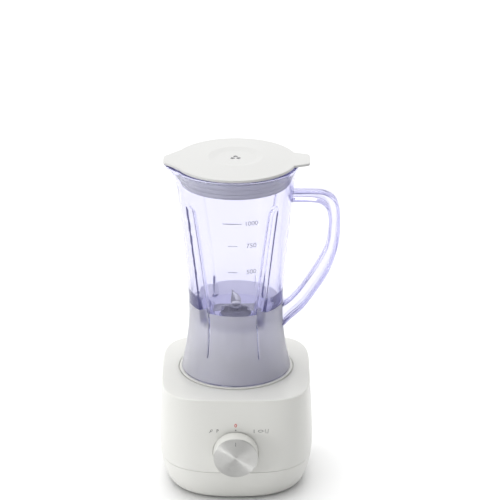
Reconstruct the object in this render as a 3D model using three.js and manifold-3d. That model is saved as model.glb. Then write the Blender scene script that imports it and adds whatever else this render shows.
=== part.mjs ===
// A countertop blender: a motor base with a control knob, a clear jug that drops on and twists,
// the blade unit in the jug's floor, and a press-in lid.
// Millimetres, +Z up, +X towards the jug's handle and -Y towards the knob. The origin is on the
// drive axis, on the surface that the feet stand on.
import * as THREE from "three";
import { mergeVertices } from "three/addons/utils/BufferGeometryUtils.js";
import Module from "manifold-3d";

const wasm = await Module();
wasm.setup();

// ---- Driving dimensions ----

const GAP = 0.3; // between pieces that touch
const WALL = 2.8; // moulded shells

// Base case: a rounded square in plan, widest below the middle.
const CASE_CENTRE_Y = -8.5; // the drive axis stands behind the middle of the case
const CASE_FLOOR_Z = 2.5;
const CASE_TOP_Z = 122;
const CASE_WIDEST_Z = 48;
const CASE_HALF_WIDTH = 82.9;
const CASE_TOP_NARROWER = 3.4;
const CASE_FLOOR_HALF_WIDTH = 71.5;
const CASE_ROLL = 1.62; // how squarely the walls turn in to the floor
const CASE_DEEPER = 4.8; // extra half depth at the top
const CASE_SQUARE = [2.58, 4]; // superellipse powers of the plan, at the floor and at the top
const CASE_EDGE_R = 1.6;
const SEAM_Z = 36.5; // where the bottom cover meets the housing
const LABEL_PAD_R = 16;
const LABEL_PAD_Z = 1.5;
const FOOT_X = 32;
const FOOT_Y = 50;
const FOOT_R = 9;
const SCREW_X = 51.5;
const SCREW_Y = 20;
const POST_R = 4.5;
const GLAND_Z = 26; // the mains lead's way out, at the back

// Jug seat: a disc let into the top of the case.
const SEAT_Z = 121.3;
const SEAT_R = 61;
const LUG_R = [46.5, 49.5];
const LUG_FLANGE_R = 52;
const LUG_HEIGHT = 14;
const LUG_STARTS = [303, 63, 183]; // degrees about +Z
const LUG_SPAN = 33;
const INTERLOCK_R = 48;
const INTERLOCK_ANGLE = 154;
const INTERLOCK_SIDE = 5;

// Knob, on the front wall.
const KNOB_Z = 62;
const KNOB_R = 23.9;
const KNOB_DEPTH = 13.5;
const KNOB_TILT = THREE.MathUtils.degToRad(4.5); // its face looks slightly down
const SPINDLE_R = 3;

// Motor, on the drive axis.
const SHAFT_R = 4;
const STATOR_Z = [58, 88];
const STATOR_R = 35;
const POLE_R = 20.6;
const COIL_R = [21, 28];
const COIL_Z = [48, 98];
const ARMATURE_R = 19.8;
const BRACKET_REACH = 44;
const BOLT_X = 38.5;

// Drive coupler, above the seat.
const COUPLER_Z = 128.9;
const COUPLER_R = 17.9;
const SKIRT_HEIGHT = 7;
const COUPLER_HEIGHT = 22.4;
const FIN_COUNT = 6;
const FIN_THICKNESS = 3.5;

// Jug. Heights are from the bottom of its skirt.
const JUG_Z = SEAT_Z + GAP;
const JUG_HEIGHT = 233.2;
const JUG_WALL = 2.6;
const WAIST_Z = 66;
const WAIST_R = 49.7;
const SKIRT_FLARE = 8.9;
const BODY_FLARE = 14; // at BODY_FLARE_Z
const BODY_FLARE_Z = 225;
const RIM_R = 66.6;
const JUG_FLOOR_Z = 56;
const MIXING_RIB_ANGLES = [64, 119];
const JUG_FRONT = 264.5; // degrees about +Z: the flutes are even about this line
const FLUTE_ANGLE = [48.5, 36.5]; // degrees from that line, at the flutes' tops and at the floor
const FLUTE_DEPTH = [6, 9.5];
const REAR_FLUTE_SHARE = 0.3; // of the front flutes' depth
const FLUTE_HALF_WIDTH = 6;
const FLUTE_TOP_Z = 200;
const SPOUT_REACH = 9;
const SPOUT_HALF_ANGLE = 29;
const HANDLE_WIDTH = 21;

// Lid. Heights are from the jug's rim.
const BRIM_R = 64.8;
const BRIM_Z = 3.2;
const LID_CROWN = 3; // how far the middle of the lid rises over its brim
const LID_DISH = 1.6;
const PLUG_DEPTH = 21;
const PLUG_R = 59.2;
const PLUG_TAPER = 0.1; // radius lost per millimetre down
const LID_WALL = 2.4;

// ---- Solids ----

// A closed geometry as a manifold solid, with shared corners merged.
function solidOf(geometry) {
  const bare = new THREE.BufferGeometry();
  bare.setAttribute("position", geometry.getAttribute("position"));
  bare.setIndex(geometry.index);
  const merged = mergeVertices(bare, 1e-4);
  return new wasm.Manifold(
    new wasm.Mesh({
      numProp: 3,
      vertProperties: new Float32Array(merged.attributes.position.array),
      triVerts: new Uint32Array(merged.index.array),
    }),
  );
}

function geometryOf(solid) {
  const mesh = solid.getMesh();
  const geometry = new THREE.BufferGeometry();
  geometry.setAttribute("position", new THREE.BufferAttribute(mesh.vertProperties, 3));
  geometry.setIndex(new THREE.BufferAttribute(mesh.triVerts, 1));
  geometry.computeVertexNormals();
  return geometry;
}

function cut(geometry, ...tools) {
  return geometryOf(tools.reduce((rest, tool) => rest.subtract(solidOf(tool)), solidOf(geometry)));
}

function join(geometry, ...others) {
  return geometryOf(others.reduce((made, other) => made.add(solidOf(other)), solidOf(geometry)));
}

function common(geometry, other) {
  return geometryOf(solidOf(geometry).intersect(solidOf(other)));
}

// The outline of a turned piece, from [radius, height] pairs: anticlockwise, and closed where it
// doesn't start on the axis.
function turnedOutline(pairs) {
  const points = pairs.map(([r, z]) => new THREE.Vector2(r, z));
  if (THREE.ShapeUtils.area(points) < 0) points.reverse();
  if (points[0].x > 0 || points.at(-1).x > 0) points.push(points[0].clone());
  return points;
}

function lathe(pairs, segments = 24) {
  return new THREE.LatheGeometry(turnedOutline(pairs), segments).rotateX(Math.PI / 2);
}

// A lathe whose every ring is reshaped: place(radius, height, angle) gives each corner.
function shapedLathe(pairs, segments, place) {
  const points = turnedOutline(pairs);
  const geometry = new THREE.LatheGeometry(points, segments);
  const position = geometry.attributes.position;
  for (let i = 0; i < position.count; i++) {
    const point = points[i % points.length];
    const turn = Math.floor(i / points.length) % segments;
    const angle = (turn / segments) * 2 * Math.PI - Math.PI / 2;
    position.setXYZ(i, ...place(point.x, point.y, angle));
  }
  return geometry;
}

function prism(shape, height, curveSegments = 8) {
  return new THREE.ExtrudeGeometry(shape, { depth: height, bevelEnabled: false, curveSegments });
}

// A wall that follows a circle, from one angle to another in degrees.
function arcWall([inner, outer], [from, to], height, curveSegments = 5) {
  const [start, end] = [from, to].map(THREE.MathUtils.degToRad);
  const shape = new THREE.Shape();
  shape.absarc(0, 0, outer, start, end, false);
  shape.absarc(0, 0, inner, end, start, true);
  return prism(shape, height, curveSegments);
}

function cylinder(radius, height, segments = 24) {
  return new THREE.CylinderGeometry(radius, radius, height, segments)
    .rotateX(Math.PI / 2)
    .translate(0, 0, height / 2);
}

function block(width, depth, height) {
  return new THREE.BoxGeometry(width, depth, height).translate(0, 0, height / 2);
}

function roundedBlock(width, depth, height, radius) {
  const [x, y] = [width / 2, depth / 2];
  const shape = new THREE.Shape();
  shape.absarc(x - radius, y - radius, radius, 0, Math.PI / 2);
  shape.absarc(radius - x, y - radius, radius, Math.PI / 2, Math.PI);
  shape.absarc(radius - x, radius - y, radius, Math.PI, 1.5 * Math.PI);
  shape.absarc(x - radius, radius - y, radius, 1.5 * Math.PI, 2 * Math.PI);
  return prism(shape, height, 4);
}

function polar(radius, degrees) {
  const angle = THREE.MathUtils.degToRad(degrees);
  return [radius * Math.cos(angle), radius * Math.sin(angle)];
}

function corners(x, y) {
  return [
    ["front_left", -x, -y],
    ["front_right", x, -y],
    ["rear_left", -x, y],
    ["rear_right", x, y],
  ];
}

// ---- Base case ----

// Half the width of the case at a height: the walls roll out from the floor, then slowly taper.
function caseHalfWidth(z) {
  if (z >= CASE_WIDEST_Z) {
    const up = (z - CASE_WIDEST_Z) / (CASE_TOP_Z - CASE_WIDEST_Z);
    return CASE_HALF_WIDTH - CASE_TOP_NARROWER * up ** 1.4;
  }
  const down = (CASE_WIDEST_Z - z) / (CASE_WIDEST_Z - CASE_FLOOR_Z);
  const spread = CASE_HALF_WIDTH - CASE_FLOOR_HALF_WIDTH;
  return CASE_FLOOR_HALF_WIDTH + spread * (1 - down ** CASE_ROLL) ** (1 / CASE_ROLL);
}

// How square a ring of the case is: 1 at the walls, 0 at the round seat and the round label pad.
function squareness(radius) {
  return THREE.MathUtils.smoothstep(radius, SEAT_R + 1, SEAT_R + 13);
}

// A point of the case's plan. Its sides are a superellipse, with rounder corners near the floor.
function casePoint(radius, z, angle, square) {
  const height = z / CASE_TOP_Z;
  const power = 2 / THREE.MathUtils.lerp(2, THREE.MathUtils.lerp(...CASE_SQUARE, height), square);
  const [c, s] = [Math.cos(angle), Math.sin(angle)];
  const x = radius * Math.sign(c) * Math.abs(c) ** power;
  const halfDepth = radius + CASE_DEEPER * height * square;
  const y = halfDepth * Math.sign(s) * Math.abs(s) ** power;
  return [x, y + CASE_CENTRE_Y * square, z];
}

const CASE_SEGMENTS = 36;

function housing() {
  const outside = [SEAM_Z + 0.4, 54, 76, 98, CASE_TOP_Z - CASE_EDGE_R];
  const inside = [CASE_TOP_Z - WALL - 1, 76, SEAM_Z + 0.4];
  const top = caseHalfWidth(CASE_TOP_Z - CASE_EDGE_R);
  const shell = shapedLathe(
    [
      ...outside.map((z) => [caseHalfWidth(z), z]),
      [top - 0.3 * CASE_EDGE_R, CASE_TOP_Z - 0.3 * CASE_EDGE_R],
      [top - CASE_EDGE_R, CASE_TOP_Z],
      [SEAT_R + 7, CASE_TOP_Z - 0.5],
      [SEAT_R + 0.5, SEAT_Z - 1],
      [SEAT_R + 0.5, SEAT_Z - 3.1],
      [SEAT_R - 9.8, SEAT_Z - 3.1],
      [SEAT_R - 9.8, SEAT_Z - 5.7],
      [SEAT_R + 1, SEAT_Z - 5.7],
      [top - WALL - 1, CASE_TOP_Z - WALL],
      ...inside.map((z) => [caseHalfWidth(z) - WALL, z]),
    ],
    CASE_SEGMENTS,
    (r, z, angle) => casePoint(r, z, angle, squareness(r)),
  );
  const postFoot = CASE_FLOOR_Z + WALL + GAP;
  const ceiling = SEAT_Z - 3.6;
  const posts = corners(SCREW_X, SCREW_Y).map(([, x, y]) =>
    cylinder(POST_R, ceiling - postFoot, 12).translate(x, y + CASE_CENTRE_Y, postFoot),
  );
  const pilots = corners(SCREW_X, SCREW_Y).map(([, x, y]) =>
    cylinder(1.8, 16, 10).translate(x, y + CASE_CENTRE_Y, postFoot - 1),
  );
  const spindleHole = cylinder(SPINDLE_R + 2, 20, 16).rotateX(Math.PI / 2).translate(0, -80, KNOB_Z);
  const knobRecess = cylinder(KNOB_R + 0.8, 10, 32)
    .rotateX(Math.PI / 2 + KNOB_TILT)
    .translate(0, frontWallY(KNOB_Z) + 0.9, KNOB_Z);
  return cut(join(shell, ...posts), ...pilots, spindleHole, knobRecess);
}

// The y of the front wall's outer face at a height.
function frontWallY(z) {
  return casePoint(caseHalfWidth(z), z, -Math.PI / 2, 1)[1];
}

function rearWallY(z) {
  return casePoint(caseHalfWidth(z), z, Math.PI / 2, 1)[1];
}

function bottomCover() {
  const heights = [CASE_FLOOR_Z, 4.5, 9, 16, 25, SEAM_Z];
  const inner = [SEAM_Z, 25, 16, 10];
  const shell = shapedLathe(
    [
      [0, LABEL_PAD_Z],
      [LABEL_PAD_R, LABEL_PAD_Z],
      [LABEL_PAD_R + 1, CASE_FLOOR_Z],
      ...heights.map((z) => [caseHalfWidth(z), z]),
      ...inner.map((z) => [caseHalfWidth(z) - WALL, z]),
      [CASE_FLOOR_HALF_WIDTH - WALL, CASE_FLOOR_Z + WALL],
      [LABEL_PAD_R, CASE_FLOOR_Z + WALL],
      [0, CASE_FLOOR_Z + WALL],
    ],
    CASE_SEGMENTS,
    (r, z, angle) => casePoint(r, z, angle, r > LABEL_PAD_R + 2 ? 1 : 0),
  );
  const vents = [-38, -30, -22, 22, 30, 38].map((x) =>
    block(3.2, 34, 12).translate(x, CASE_CENTRE_Y, -2),
  );
  const footHoles = corners(FOOT_X, FOOT_Y).map(([, x, y]) =>
    cylinder(4, 12, 10).translate(x, y + CASE_CENTRE_Y, -2),
  );
  const screwHoles = corners(SCREW_X, SCREW_Y).map(([, x, y]) =>
    lathe([[0, -2], [5, -2], [5, 3.9], [2.2, 3.9], [2.2, 10], [0, 10]], 10)
      .translate(x, y + CASE_CENTRE_Y, 0),
  );
  const cordHole = cylinder(6.2, 30, 14).rotateX(Math.PI / 2).translate(0, 90, GLAND_Z);
  const flangeSeat = cylinder(8.4, 20, 14)
    .rotateX(-Math.PI / 2)
    .translate(0, rearWallY(GLAND_Z) - 0.6, GLAND_Z);
  return cut(shell, ...vents, ...footHoles, ...screwHoles, cordHole, flangeSeat);
}

// Rubber foot, pushed up through the floor.
function foot() {
  return lathe([[0, 0], [FOOT_R - 1, 0], [FOOT_R, 1], [FOOT_R, 2.2], [3.6, 2.2], [3.6, 7], [0, 7]], 12);
}

// Pan-head screw, driven up into a post of the housing.
function baseScrew() {
  return lathe([[0, 0], [3, 0], [3.9, 0.8], [3.9, 2], [1.5, 2], [1.5, 13], [0, 13.8]], 10);
}

// Grommet where the mains lead enters the bottom cover.
function cordGland() {
  return lathe(
    [[3.4, 0], [8, 0], [8, 2.4], [5.9, 2.4], [5.9, 7.3], [8, 7.3], [8, 9.3], [3.4, 9.3]],
    14,
  );
}

// ---- Jug seat ----

// A domed disc with three bayonet lugs, and a guard wall and post round the interlock.
function jugSeat() {
  const disc = lathe(
    [
      [13.5, SEAT_Z - 5.5],
      [16.5, SEAT_Z - 5.5],
      [16.5, SEAT_Z + 0.2],
      [46, SEAT_Z - 2.6],
      [SEAT_R, SEAT_Z - 2.8],
      [SEAT_R, SEAT_Z - 0.5],
      [SEAT_R - 0.5, SEAT_Z],
      [48, SEAT_Z],
      [18, SEAT_Z + 3],
      [13.5, SEAT_Z + 3],
    ],
    36,
  );
  const foot = SEAT_Z - 1;
  const lugs = LUG_STARTS.flatMap((start) => {
    const span = [start, start + LUG_SPAN];
    return [
      arcWall(LUG_R, span, LUG_HEIGHT + 1).translate(0, 0, foot),
      arcWall([LUG_R[0], LUG_FLANGE_R], span, 3).translate(0, 0, SEAT_Z + LUG_HEIGHT - 3),
    ];
  });
  const guards = [
    arcWall(LUG_R, [160, 184], LUG_HEIGHT + 1).translate(0, 0, foot),
    arcWall(LUG_R, [108, 148], 12 + 1).translate(0, 0, foot),
    arcWall([LUG_R[0], 50], [107, 115], 20 + 1, 3).translate(0, 0, foot),
  ];
  const side = INTERLOCK_SIDE + 1;
  const pinHole = block(side, side, 20)
    .rotateZ(THREE.MathUtils.degToRad(INTERLOCK_ANGLE))
    .translate(...polar(INTERLOCK_R, INTERLOCK_ANGLE), SEAT_Z - 10);
  return cut(join(disc, ...lugs, ...guards), pinHole);
}

// Rubber lip seal round the motor shaft, in the seat's centre hole.
function shaftSeal() {
  return lathe([[4.6, -5], [13.2, -5], [13.2, 3.4], [10, 3.4], [6.5, 5], [4.6, 5]], 20);
}

// ---- Interlock ----

// Square plunger that the seated jug pushes down on to the microswitch.
function interlockPin() {
  const stem = block(INTERLOCK_SIDE, INTERLOCK_SIDE, 22);
  const collar = block(6, 9, 3.5).translate(-0.5, 0, 7.4);
  return join(stem, collar);
}

class Coil extends THREE.Curve {
  constructor(radius, pitch, turns) {
    super();
    Object.assign(this, { radius, pitch, turns });
  }
  getPoint(t) {
    const angle = t * this.turns * 2 * Math.PI;
    return new THREE.Vector3(
      this.radius * Math.cos(angle),
      this.radius * Math.sin(angle),
      t * this.turns * this.pitch,
    );
  }
}

const SPRING_TURNS = 5;
const SPRING_PITCH = 2.6;

function interlockSpring() {
  const wire = new THREE.Shape().absarc(0, 0, 0.4, 0, 2 * Math.PI);
  return new THREE.ExtrudeGeometry(wire, {
    extrudePath: new Coil(4.2, SPRING_PITCH, SPRING_TURNS),
    steps: SPRING_TURNS * 8,
    curveSegments: 3,
  });
}

// ---- Knob ----

// The knob's own axis is Z here, with its back at 0.
function knobBody() {
  return lathe(
    [
      [3.3, 3],
      [8, 3],
      [8, 8],
      [KNOB_R - 2.4, 8],
      [KNOB_R - 2.2, 0],
      [KNOB_R, 0],
      [KNOB_R - 0.5, KNOB_DEPTH - 1.4],
      [3.3, KNOB_DEPTH - 1.4],
    ],
    32,
  );
}

function knobFace() {
  const rim = KNOB_R - 0.7;
  return lathe([[0, 0], [rim, 0], [rim, 0.8], [rim - 0.3, 1.1], [0, 1.1]], 32);
}

function knobSpindle() {
  const round = cylinder(SPINDLE_R, 22, 14);
  return cut(round, block(10, 10, 12).translate(0, 5 + 0.6 * SPINDLE_R, 12));
}

function rotarySwitch() {
  const body = roundedBlock(26, 26, 16, 4);
  return cut(body, cylinder(SPINDLE_R + GAP, 14, 14).translate(0, 0, 4));
}

// ---- Motor ----

function stator() {
  const [bottom, top] = STATOR_Z;
  const stack = cut(
    common(cylinder(STATOR_R, top - bottom, 32), block(2 * STATOR_R, 58, top - bottom)),
    cylinder(POLE_R, 100, 32).translate(0, 0, -10),
  );
  const slots = [0, 180].flatMap((pole) =>
    [-45, 45].map((side) =>
      arcWall([POLE_R - 2, COIL_R[1] + 0.5], [pole + side - 9, pole + side + 9], 100, 3)
        .translate(0, 0, -10),
    ),
  );
  return cut(stack, ...slots);
}

// One field coil: a loop that goes up one slot, over the pole and down the other slot.
function fieldCoil(pole) {
  const height = COIL_Z[1] - COIL_Z[0];
  const opening = STATOR_Z[1] - STATOR_Z[0] + 2;
  return cut(
    arcWall(COIL_R, [pole - 53, pole + 53], height, 10),
    arcWall([COIL_R[0] - 5, COIL_R[1] + 5], [pole - 37.5, pole + 37.5], opening, 4)
      .translate(0, 0, (height - opening) / 2),
  );
}

function armature() {
  const shape = new THREE.Shape();
  const slots = 10;
  for (let i = 0; i < slots; i++) {
    const middle = (i / slots) * 2 * Math.PI;
    const half = (0.4 * 2 * Math.PI) / slots;
    for (const [r, turn] of [[14, -half], [ARMATURE_R, -half], [ARMATURE_R, half], [14, half]]) {
      const [x, y] = [r * Math.cos(middle + turn), r * Math.sin(middle + turn)];
      if (i || r === ARMATURE_R || turn > 0) shape.lineTo(x, y);
      else shape.moveTo(x, y);
    }
  }
  shape.closePath();
  shape.holes.push(new THREE.Path().absarc(0, 0, SHAFT_R + GAP, 0, 2 * Math.PI));
  return prism(shape, STATOR_Z[1] - STATOR_Z[0] + 2, 6);
}

function endWinding() {
  return lathe([[4.6, 0], [17, 0], [18.2, 2.5], [14, 6.5], [4.6, 7]], 20);
}

function commutator() {
  return lathe([[4.4, 0], [10, 0], [10, 11], [12, 11], [12, 13], [4.4, 13]], 24);
}

function motorShaft() {
  return lathe([[0, 0], [SHAFT_R, 1], [SHAFT_R, 126], [0, 127]], 16);
}

function coolingFan() {
  const hub = lathe([[4.4, 0], [34, 0], [34, 1.6], [9, 1.6], [9, 10], [4.4, 10]], 24);
  const vanes = Array.from({ length: 8 }, (_, i) =>
    block(23, 1.6, 8).translate(21.5, 0, 1).rotateZ((i * Math.PI) / 4),
  );
  return join(hub, ...vanes);
}

// A bridge across the motor, with a bearing seat in the middle and an ear at each end.
function bracket(bearingR, thickness) {
  const bar = roundedBlock(2 * BRACKET_REACH, 24, thickness, 6);
  const seat = cylinder(bearingR + 4, thickness + 5, 24);
  const boltHoles = [-BOLT_X, BOLT_X].map((x) => cylinder(2.6, 40, 10).translate(x, 0, -10));
  return cut(join(bar, seat), cylinder(bearingR + GAP, 60, 24).translate(0, 0, -20), ...boltHoles);
}

function bearing(radius, height) {
  return lathe([[SHAFT_R + 0.4, 0], [radius, 0], [radius, height], [SHAFT_R + 0.4, height]], 20);
}

function motorBolt(length) {
  return lathe([[0, -3], [4.2, -3], [4.2, 0], [2.2, 0], [2.2, length], [0, length]], 10);
}

function brushHolder() {
  return cut(block(16, 9, 9), block(40, 6.6, 6.6).translate(0, 0, 1.2));
}

function carbonBrush() {
  return block(15, 6, 6);
}

// Rubber mount between the motor's upper bracket and the seat.
function damper() {
  return lathe([[0, 0], [6, 0], [6, 1.5], [4.5, 2.4], [6, 3.3], [6, 4.8], [0, 4.8]], 10);
}

// ---- Couplers ----

// Fins that stand round a core, as one star-shaped prism.
function finnedStar(core, reach, thickness, height) {
  const arms = Array.from({ length: FIN_COUNT / 2 }, (_, i) =>
    block(2 * reach, thickness, height).rotateZ((i * 2 * Math.PI) / FIN_COUNT),
  );
  return join(cylinder(core, height, 18), ...arms);
}

function couplerSkirt() {
  return lathe(
    [
      [5, 3.4],
      [15.2, 3.4],
      [15.6, 0],
      [COUPLER_R - 0.8, 0],
      [COUPLER_R, 0.8],
      [COUPLER_R - 0.6, SKIRT_HEIGHT],
      [5, SKIRT_HEIGHT],
    ],
    28,
  );
}

// The base's half of the coupling: six tapered fins on a disc.
function driveCoupler() {
  const height = COUPLER_HEIGHT - SKIRT_HEIGHT - GAP;
  const envelope = lathe([[0, 0], [16.6, 0], [16, 8], [13.6, height - 1], [12.6, height], [0, height]], 28);
  const fins = common(envelope, finnedStar(7, 20, FIN_THICKNESS, 40));
  const disc = cylinder(16.6, 1.6, 28);
  return cut(join(disc, fins), cylinder(SHAFT_R + GAP, 20, 16).translate(0, 0, -12));
}

// The jug's half: a bell with six teeth that stand between the drive coupler's fins.
function jugCoupler() {
  const bell = lathe(
    [
      [17.4, 0],
      [20, 0],
      [20, 3],
      [17.6, 20],
      [9, 23],
      [8, 29],
      [0, 29],
      [0, 17],
      [15.4, 16],
    ],
    28,
  );
  const rings = cut(cylinder(17.6, 15.5, 28), cylinder(10, 60, 24).translate(0, 0, -20));
  const teeth = common(rings, finnedStar(1, 30, FIN_THICKNESS, 60).rotateZ(Math.PI / FIN_COUNT));
  const bellWithTeeth = solidOf(bell).add(solidOf(teeth.translate(0, 0, 2)));
  const shaftHole = cylinder(SHAFT_R + GAP, 20, 16).translate(0, 0, 19);
  return geometryOf(bellWithTeeth.subtract(solidOf(shaftHole)));
}

// ---- Blade unit. Heights are from the top of the jug's floor. ----

function bladeBushing() {
  return lathe(
    [[SHAFT_R + 0.35, -12], [8, -12], [8, 2.2], [17, 2.2], [17, 3.6], [9, 6], [SHAFT_R + 0.35, 6]],
    24,
  );
}

function floorGasket() {
  return lathe([[8.4, GAP], [17, GAP], [17, 1.8], [8.4, 1.8]], 24);
}

function bushingNut() {
  return cut(cylinder(13, 5, 6), cylinder(8.4, 30, 24).translate(0, 0, -10));
}

function bladeShaft() {
  return lathe([[0, 0], [SHAFT_R, 1], [SHAFT_R, 30], [2.6, 30], [2.6, 36], [0, 36]], 16);
}

// A two-armed blade. Each arm leaves the flat middle at a bend and ends in a slanted point.
function blade(reach, bendAngle, thickness = 1.2) {
  const flat = 9;
  const root = new THREE.Shape();
  root.absarc(0, 0, 8, 0, 2 * Math.PI);
  const middle = join(prism(root, thickness, 10), block(2 * flat, 11, thickness));
  const arm = new THREE.Shape();
  arm.moveTo(-0.6, -5.5);
  arm.lineTo(reach - flat - 9, -5.5);
  arm.lineTo(reach - flat, 3.5);
  arm.lineTo(reach - flat - 5, 5.5);
  arm.lineTo(-0.6, 5.5);
  arm.closePath();
  const right = prism(arm, thickness).rotateY(-bendAngle).translate(flat, 0, 0);
  const left = right.clone().rotateZ(Math.PI);
  return cut(join(middle, right, left), cylinder(2.6 + GAP, 10, 16).translate(0, 0, -5));
}

function bladeCap() {
  return cut(
    lathe([[0, 0], [5.5, 0], [5.5, 3], [3.4, 5.4], [0, 6]], 12),
    cylinder(2.6 + GAP, 10, 16).translate(0, 0, -7),
  );
}

// ---- Jug ----

// Outer radius of the jug at a height, before flutes and spout.
function jugRadius(z) {
  if (z < WAIST_Z) return WAIST_R + SKIRT_FLARE * ((WAIST_Z - z) / WAIST_Z) ** 1.8;
  return WAIST_R + BODY_FLARE * ((z - WAIST_Z) / (BODY_FLARE_Z - WAIST_Z)) ** 1.25;
}

// How far the wall is pressed in: two deep flutes at the front and two shallow ones at the back.
// They draw together and deepen towards the floor.
function fluteDepth(z, angle, radius) {
  if (radius < 30) return 0;
  const fromFront = Math.abs(signedTurn(angle - THREE.MathUtils.degToRad(JUG_FRONT)));
  const front = fromFront < Math.PI / 2;
  const down = THREE.MathUtils.clamp((FLUTE_TOP_Z - z) / (FLUTE_TOP_Z - JUG_FLOOR_Z), 0, 1);
  const middle = THREE.MathUtils.degToRad(THREE.MathUtils.lerp(...FLUTE_ANGLE, down));
  const off = Math.abs((front ? fromFront : Math.PI - fromFront) - middle) * radius;
  const across = Math.cos((Math.min(1, off / FLUTE_HALF_WIDTH) * Math.PI) / 2) ** 2;
  const ends =
    THREE.MathUtils.smoothstep(z, JUG_FLOOR_Z + 3, JUG_FLOOR_Z + 12) *
    (1 - THREE.MathUtils.smoothstep(z, FLUTE_TOP_Z - 12, FLUTE_TOP_Z));
  const depth = THREE.MathUtils.lerp(...FLUTE_DEPTH, down) * (front ? 1 : REAR_FLUTE_SHARE);
  return depth * ends * across;
}

// An angle brought to between minus half a turn and half a turn.
function signedTurn(angle) {
  return Math.atan2(Math.sin(angle), Math.cos(angle));
}

// How far the rim is drawn out, towards -X.
function spoutReach(z, angle) {
  const off = Math.PI - Math.abs(signedTurn(angle));
  const across = Math.max(0, 1 - off / THREE.MathUtils.degToRad(SPOUT_HALF_ANGLE));
  const up = THREE.MathUtils.smoothstep(z, JUG_HEIGHT - 34, JUG_HEIGHT + 4);
  return SPOUT_REACH * 1.15 * across ** 1.1 * up ** 1.6;
}

function jugPoint(radius, z, angle) {
  // Segments gather round the flutes, near the diagonals.
  const turned = angle + 0.15 * Math.sin(4 * angle);
  const r = radius - fluteDepth(z, turned, radius) + (radius > 50 ? spoutReach(z, turned) : 0);
  return [r * Math.cos(turned), r * Math.sin(turned), z];
}

function jugHandle() {
  const shape = new THREE.Shape();
  const [root, lowRoot] = [58.8, 48.2];
  shape.moveTo(root, 191.5);
  shape.lineTo(86, 191.5);
  shape.splineThru([[94, 188], [97.4, 178], [98, 163], [95.5, 143], [88, 126]].map(toVector));
  shape.splineThru([[79, 110], [66.5, 91], [57, 80], [lowRoot, 74]].map(toVector));
  shape.lineTo(lowRoot, 47);
  shape.splineThru([[58, 57], [72, 70.5], [86, 90], [98.5, 111]].map(toVector));
  shape.splineThru([[106, 131], [109.6, 148], [110, 176], [106, 194], [94, 203]].map(toVector));
  shape.lineTo(86, 203.5);
  shape.lineTo(root, 203.5);
  shape.closePath();
  return new THREE.ExtrudeGeometry(shape, {
    depth: HANDLE_WIDTH - 4,
    curveSegments: 2,
    bevelSize: 2,
    bevelThickness: 2,
    bevelOffset: -2,
    bevelSegments: 1,
  })
    .rotateX(Math.PI / 2)
    .translate(0, HANDLE_WIDTH / 2 - 2, 0);
}

function toVector([x, y]) {
  return new THREE.Vector2(x, y);
}

function jug() {
  const outside = [0, 18, 38, WAIST_Z, 76, 100, 126, 152, 178, 190, FLUTE_TOP_Z, 218];
  const inside = [218, FLUTE_TOP_Z, 190, 178, 152, 126, 104, 92];
  const innerSkirt = [60, 38, 18, 0];
  const body = shapedLathe(
    [
      ...outside.map((z) => [jugRadius(z), z]),
      [RIM_R, JUG_HEIGHT - 2],
      [RIM_R - 0.8, JUG_HEIGHT],
      [RIM_R - 4.2, JUG_HEIGHT],
      ...inside.map((z) => [jugRadius(z) - JUG_WALL, z]),
      [45.6, 80],
      [43, 70],
      [39, 61],
      [33, JUG_FLOOR_Z],
      [8.4, JUG_FLOOR_Z],
      [8.4, JUG_FLOOR_Z - 5],
      [18, JUG_FLOOR_Z - 5],
      [19, JUG_FLOOR_Z - 3.6],
      [38, JUG_FLOOR_Z - 3.6],
      [43, 56.5],
      [46, 63.5],
      ...innerSkirt.map((z) => [jugRadius(z) - JUG_WALL, z]),
    ],
    40,
    jugPoint,
  );
  const tongues = LUG_STARTS.map((start) =>
    arcWall([50.4, 55], [start + LUG_SPAN + 2, start + LUG_SPAN + 18], 4, 3).translate(0, 0, 6.2),
  );
  const mixingRibs = MIXING_RIB_ANGLES.map((angle) =>
    block(7.5, 3, 27)
      .translate(44.5, 0, JUG_FLOOR_Z + 5)
      .rotateZ(THREE.MathUtils.degToRad(angle)),
  );
  return join(body, jugHandle(), ...tongues, ...mixingRibs);
}

// ---- Lid ----

function plugRadius(z) {
  return PLUG_R + PLUG_TAPER * z;
}

// A flat tab of the brim. Its outline is given from the brim outwards.
function lidTab(halfRoot, halfTip, reach, towards) {
  const shape = new THREE.Shape();
  const root = Math.sqrt(BRIM_R ** 2 - halfRoot ** 2) - 3;
  shape.moveTo(root, -halfRoot);
  shape.quadraticCurveTo(reach - 9, -halfTip, reach - 2, -halfTip + 1);
  shape.quadraticCurveTo(reach, -halfTip + 2, reach, 0);
  shape.quadraticCurveTo(reach, halfTip - 2, reach - 2, halfTip - 1);
  shape.quadraticCurveTo(reach - 9, halfTip, root, halfRoot);
  shape.closePath();
  return prism(shape, BRIM_Z - 0.4, 4).rotateZ(towards);
}

function lid() {
  const crown = BRIM_Z + LID_CROWN;
  const body = lathe(
    [
      [0, crown - LID_DISH],
      [21, crown - LID_DISH],
      [28, crown],
      [60, BRIM_Z],
      [BRIM_R - 1, BRIM_Z],
      [BRIM_R, BRIM_Z - 0.8],
      [BRIM_R, 0],
      [plugRadius(0), 0],
      [plugRadius(-18.8), -18.8],
      [plugRadius(-18.8) + 1.2, -19.2],
      [plugRadius(-PLUG_DEPTH) + 1, -PLUG_DEPTH],
      [plugRadius(-PLUG_DEPTH) - LID_WALL, -PLUG_DEPTH],
      [plugRadius(-2) - LID_WALL, -2],
      [54, BRIM_Z + 0.4 - LID_WALL],
      [28, crown - LID_WALL],
      [21, crown - LID_DISH - LID_WALL],
      [0, crown - LID_DISH - LID_WALL],
    ],
    36,
  );
  const ventHoles = [90, 210, 330].map((angle) =>
    cylinder(1.9, 20, 10).translate(...polar(3.2, angle), -10),
  );
  return cut(
    join(body, lidTab(20, 13.5, 78, 0), lidTab(27, 9, 75.8, Math.PI)),
    ...ventHoles,
  );
}

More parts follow.
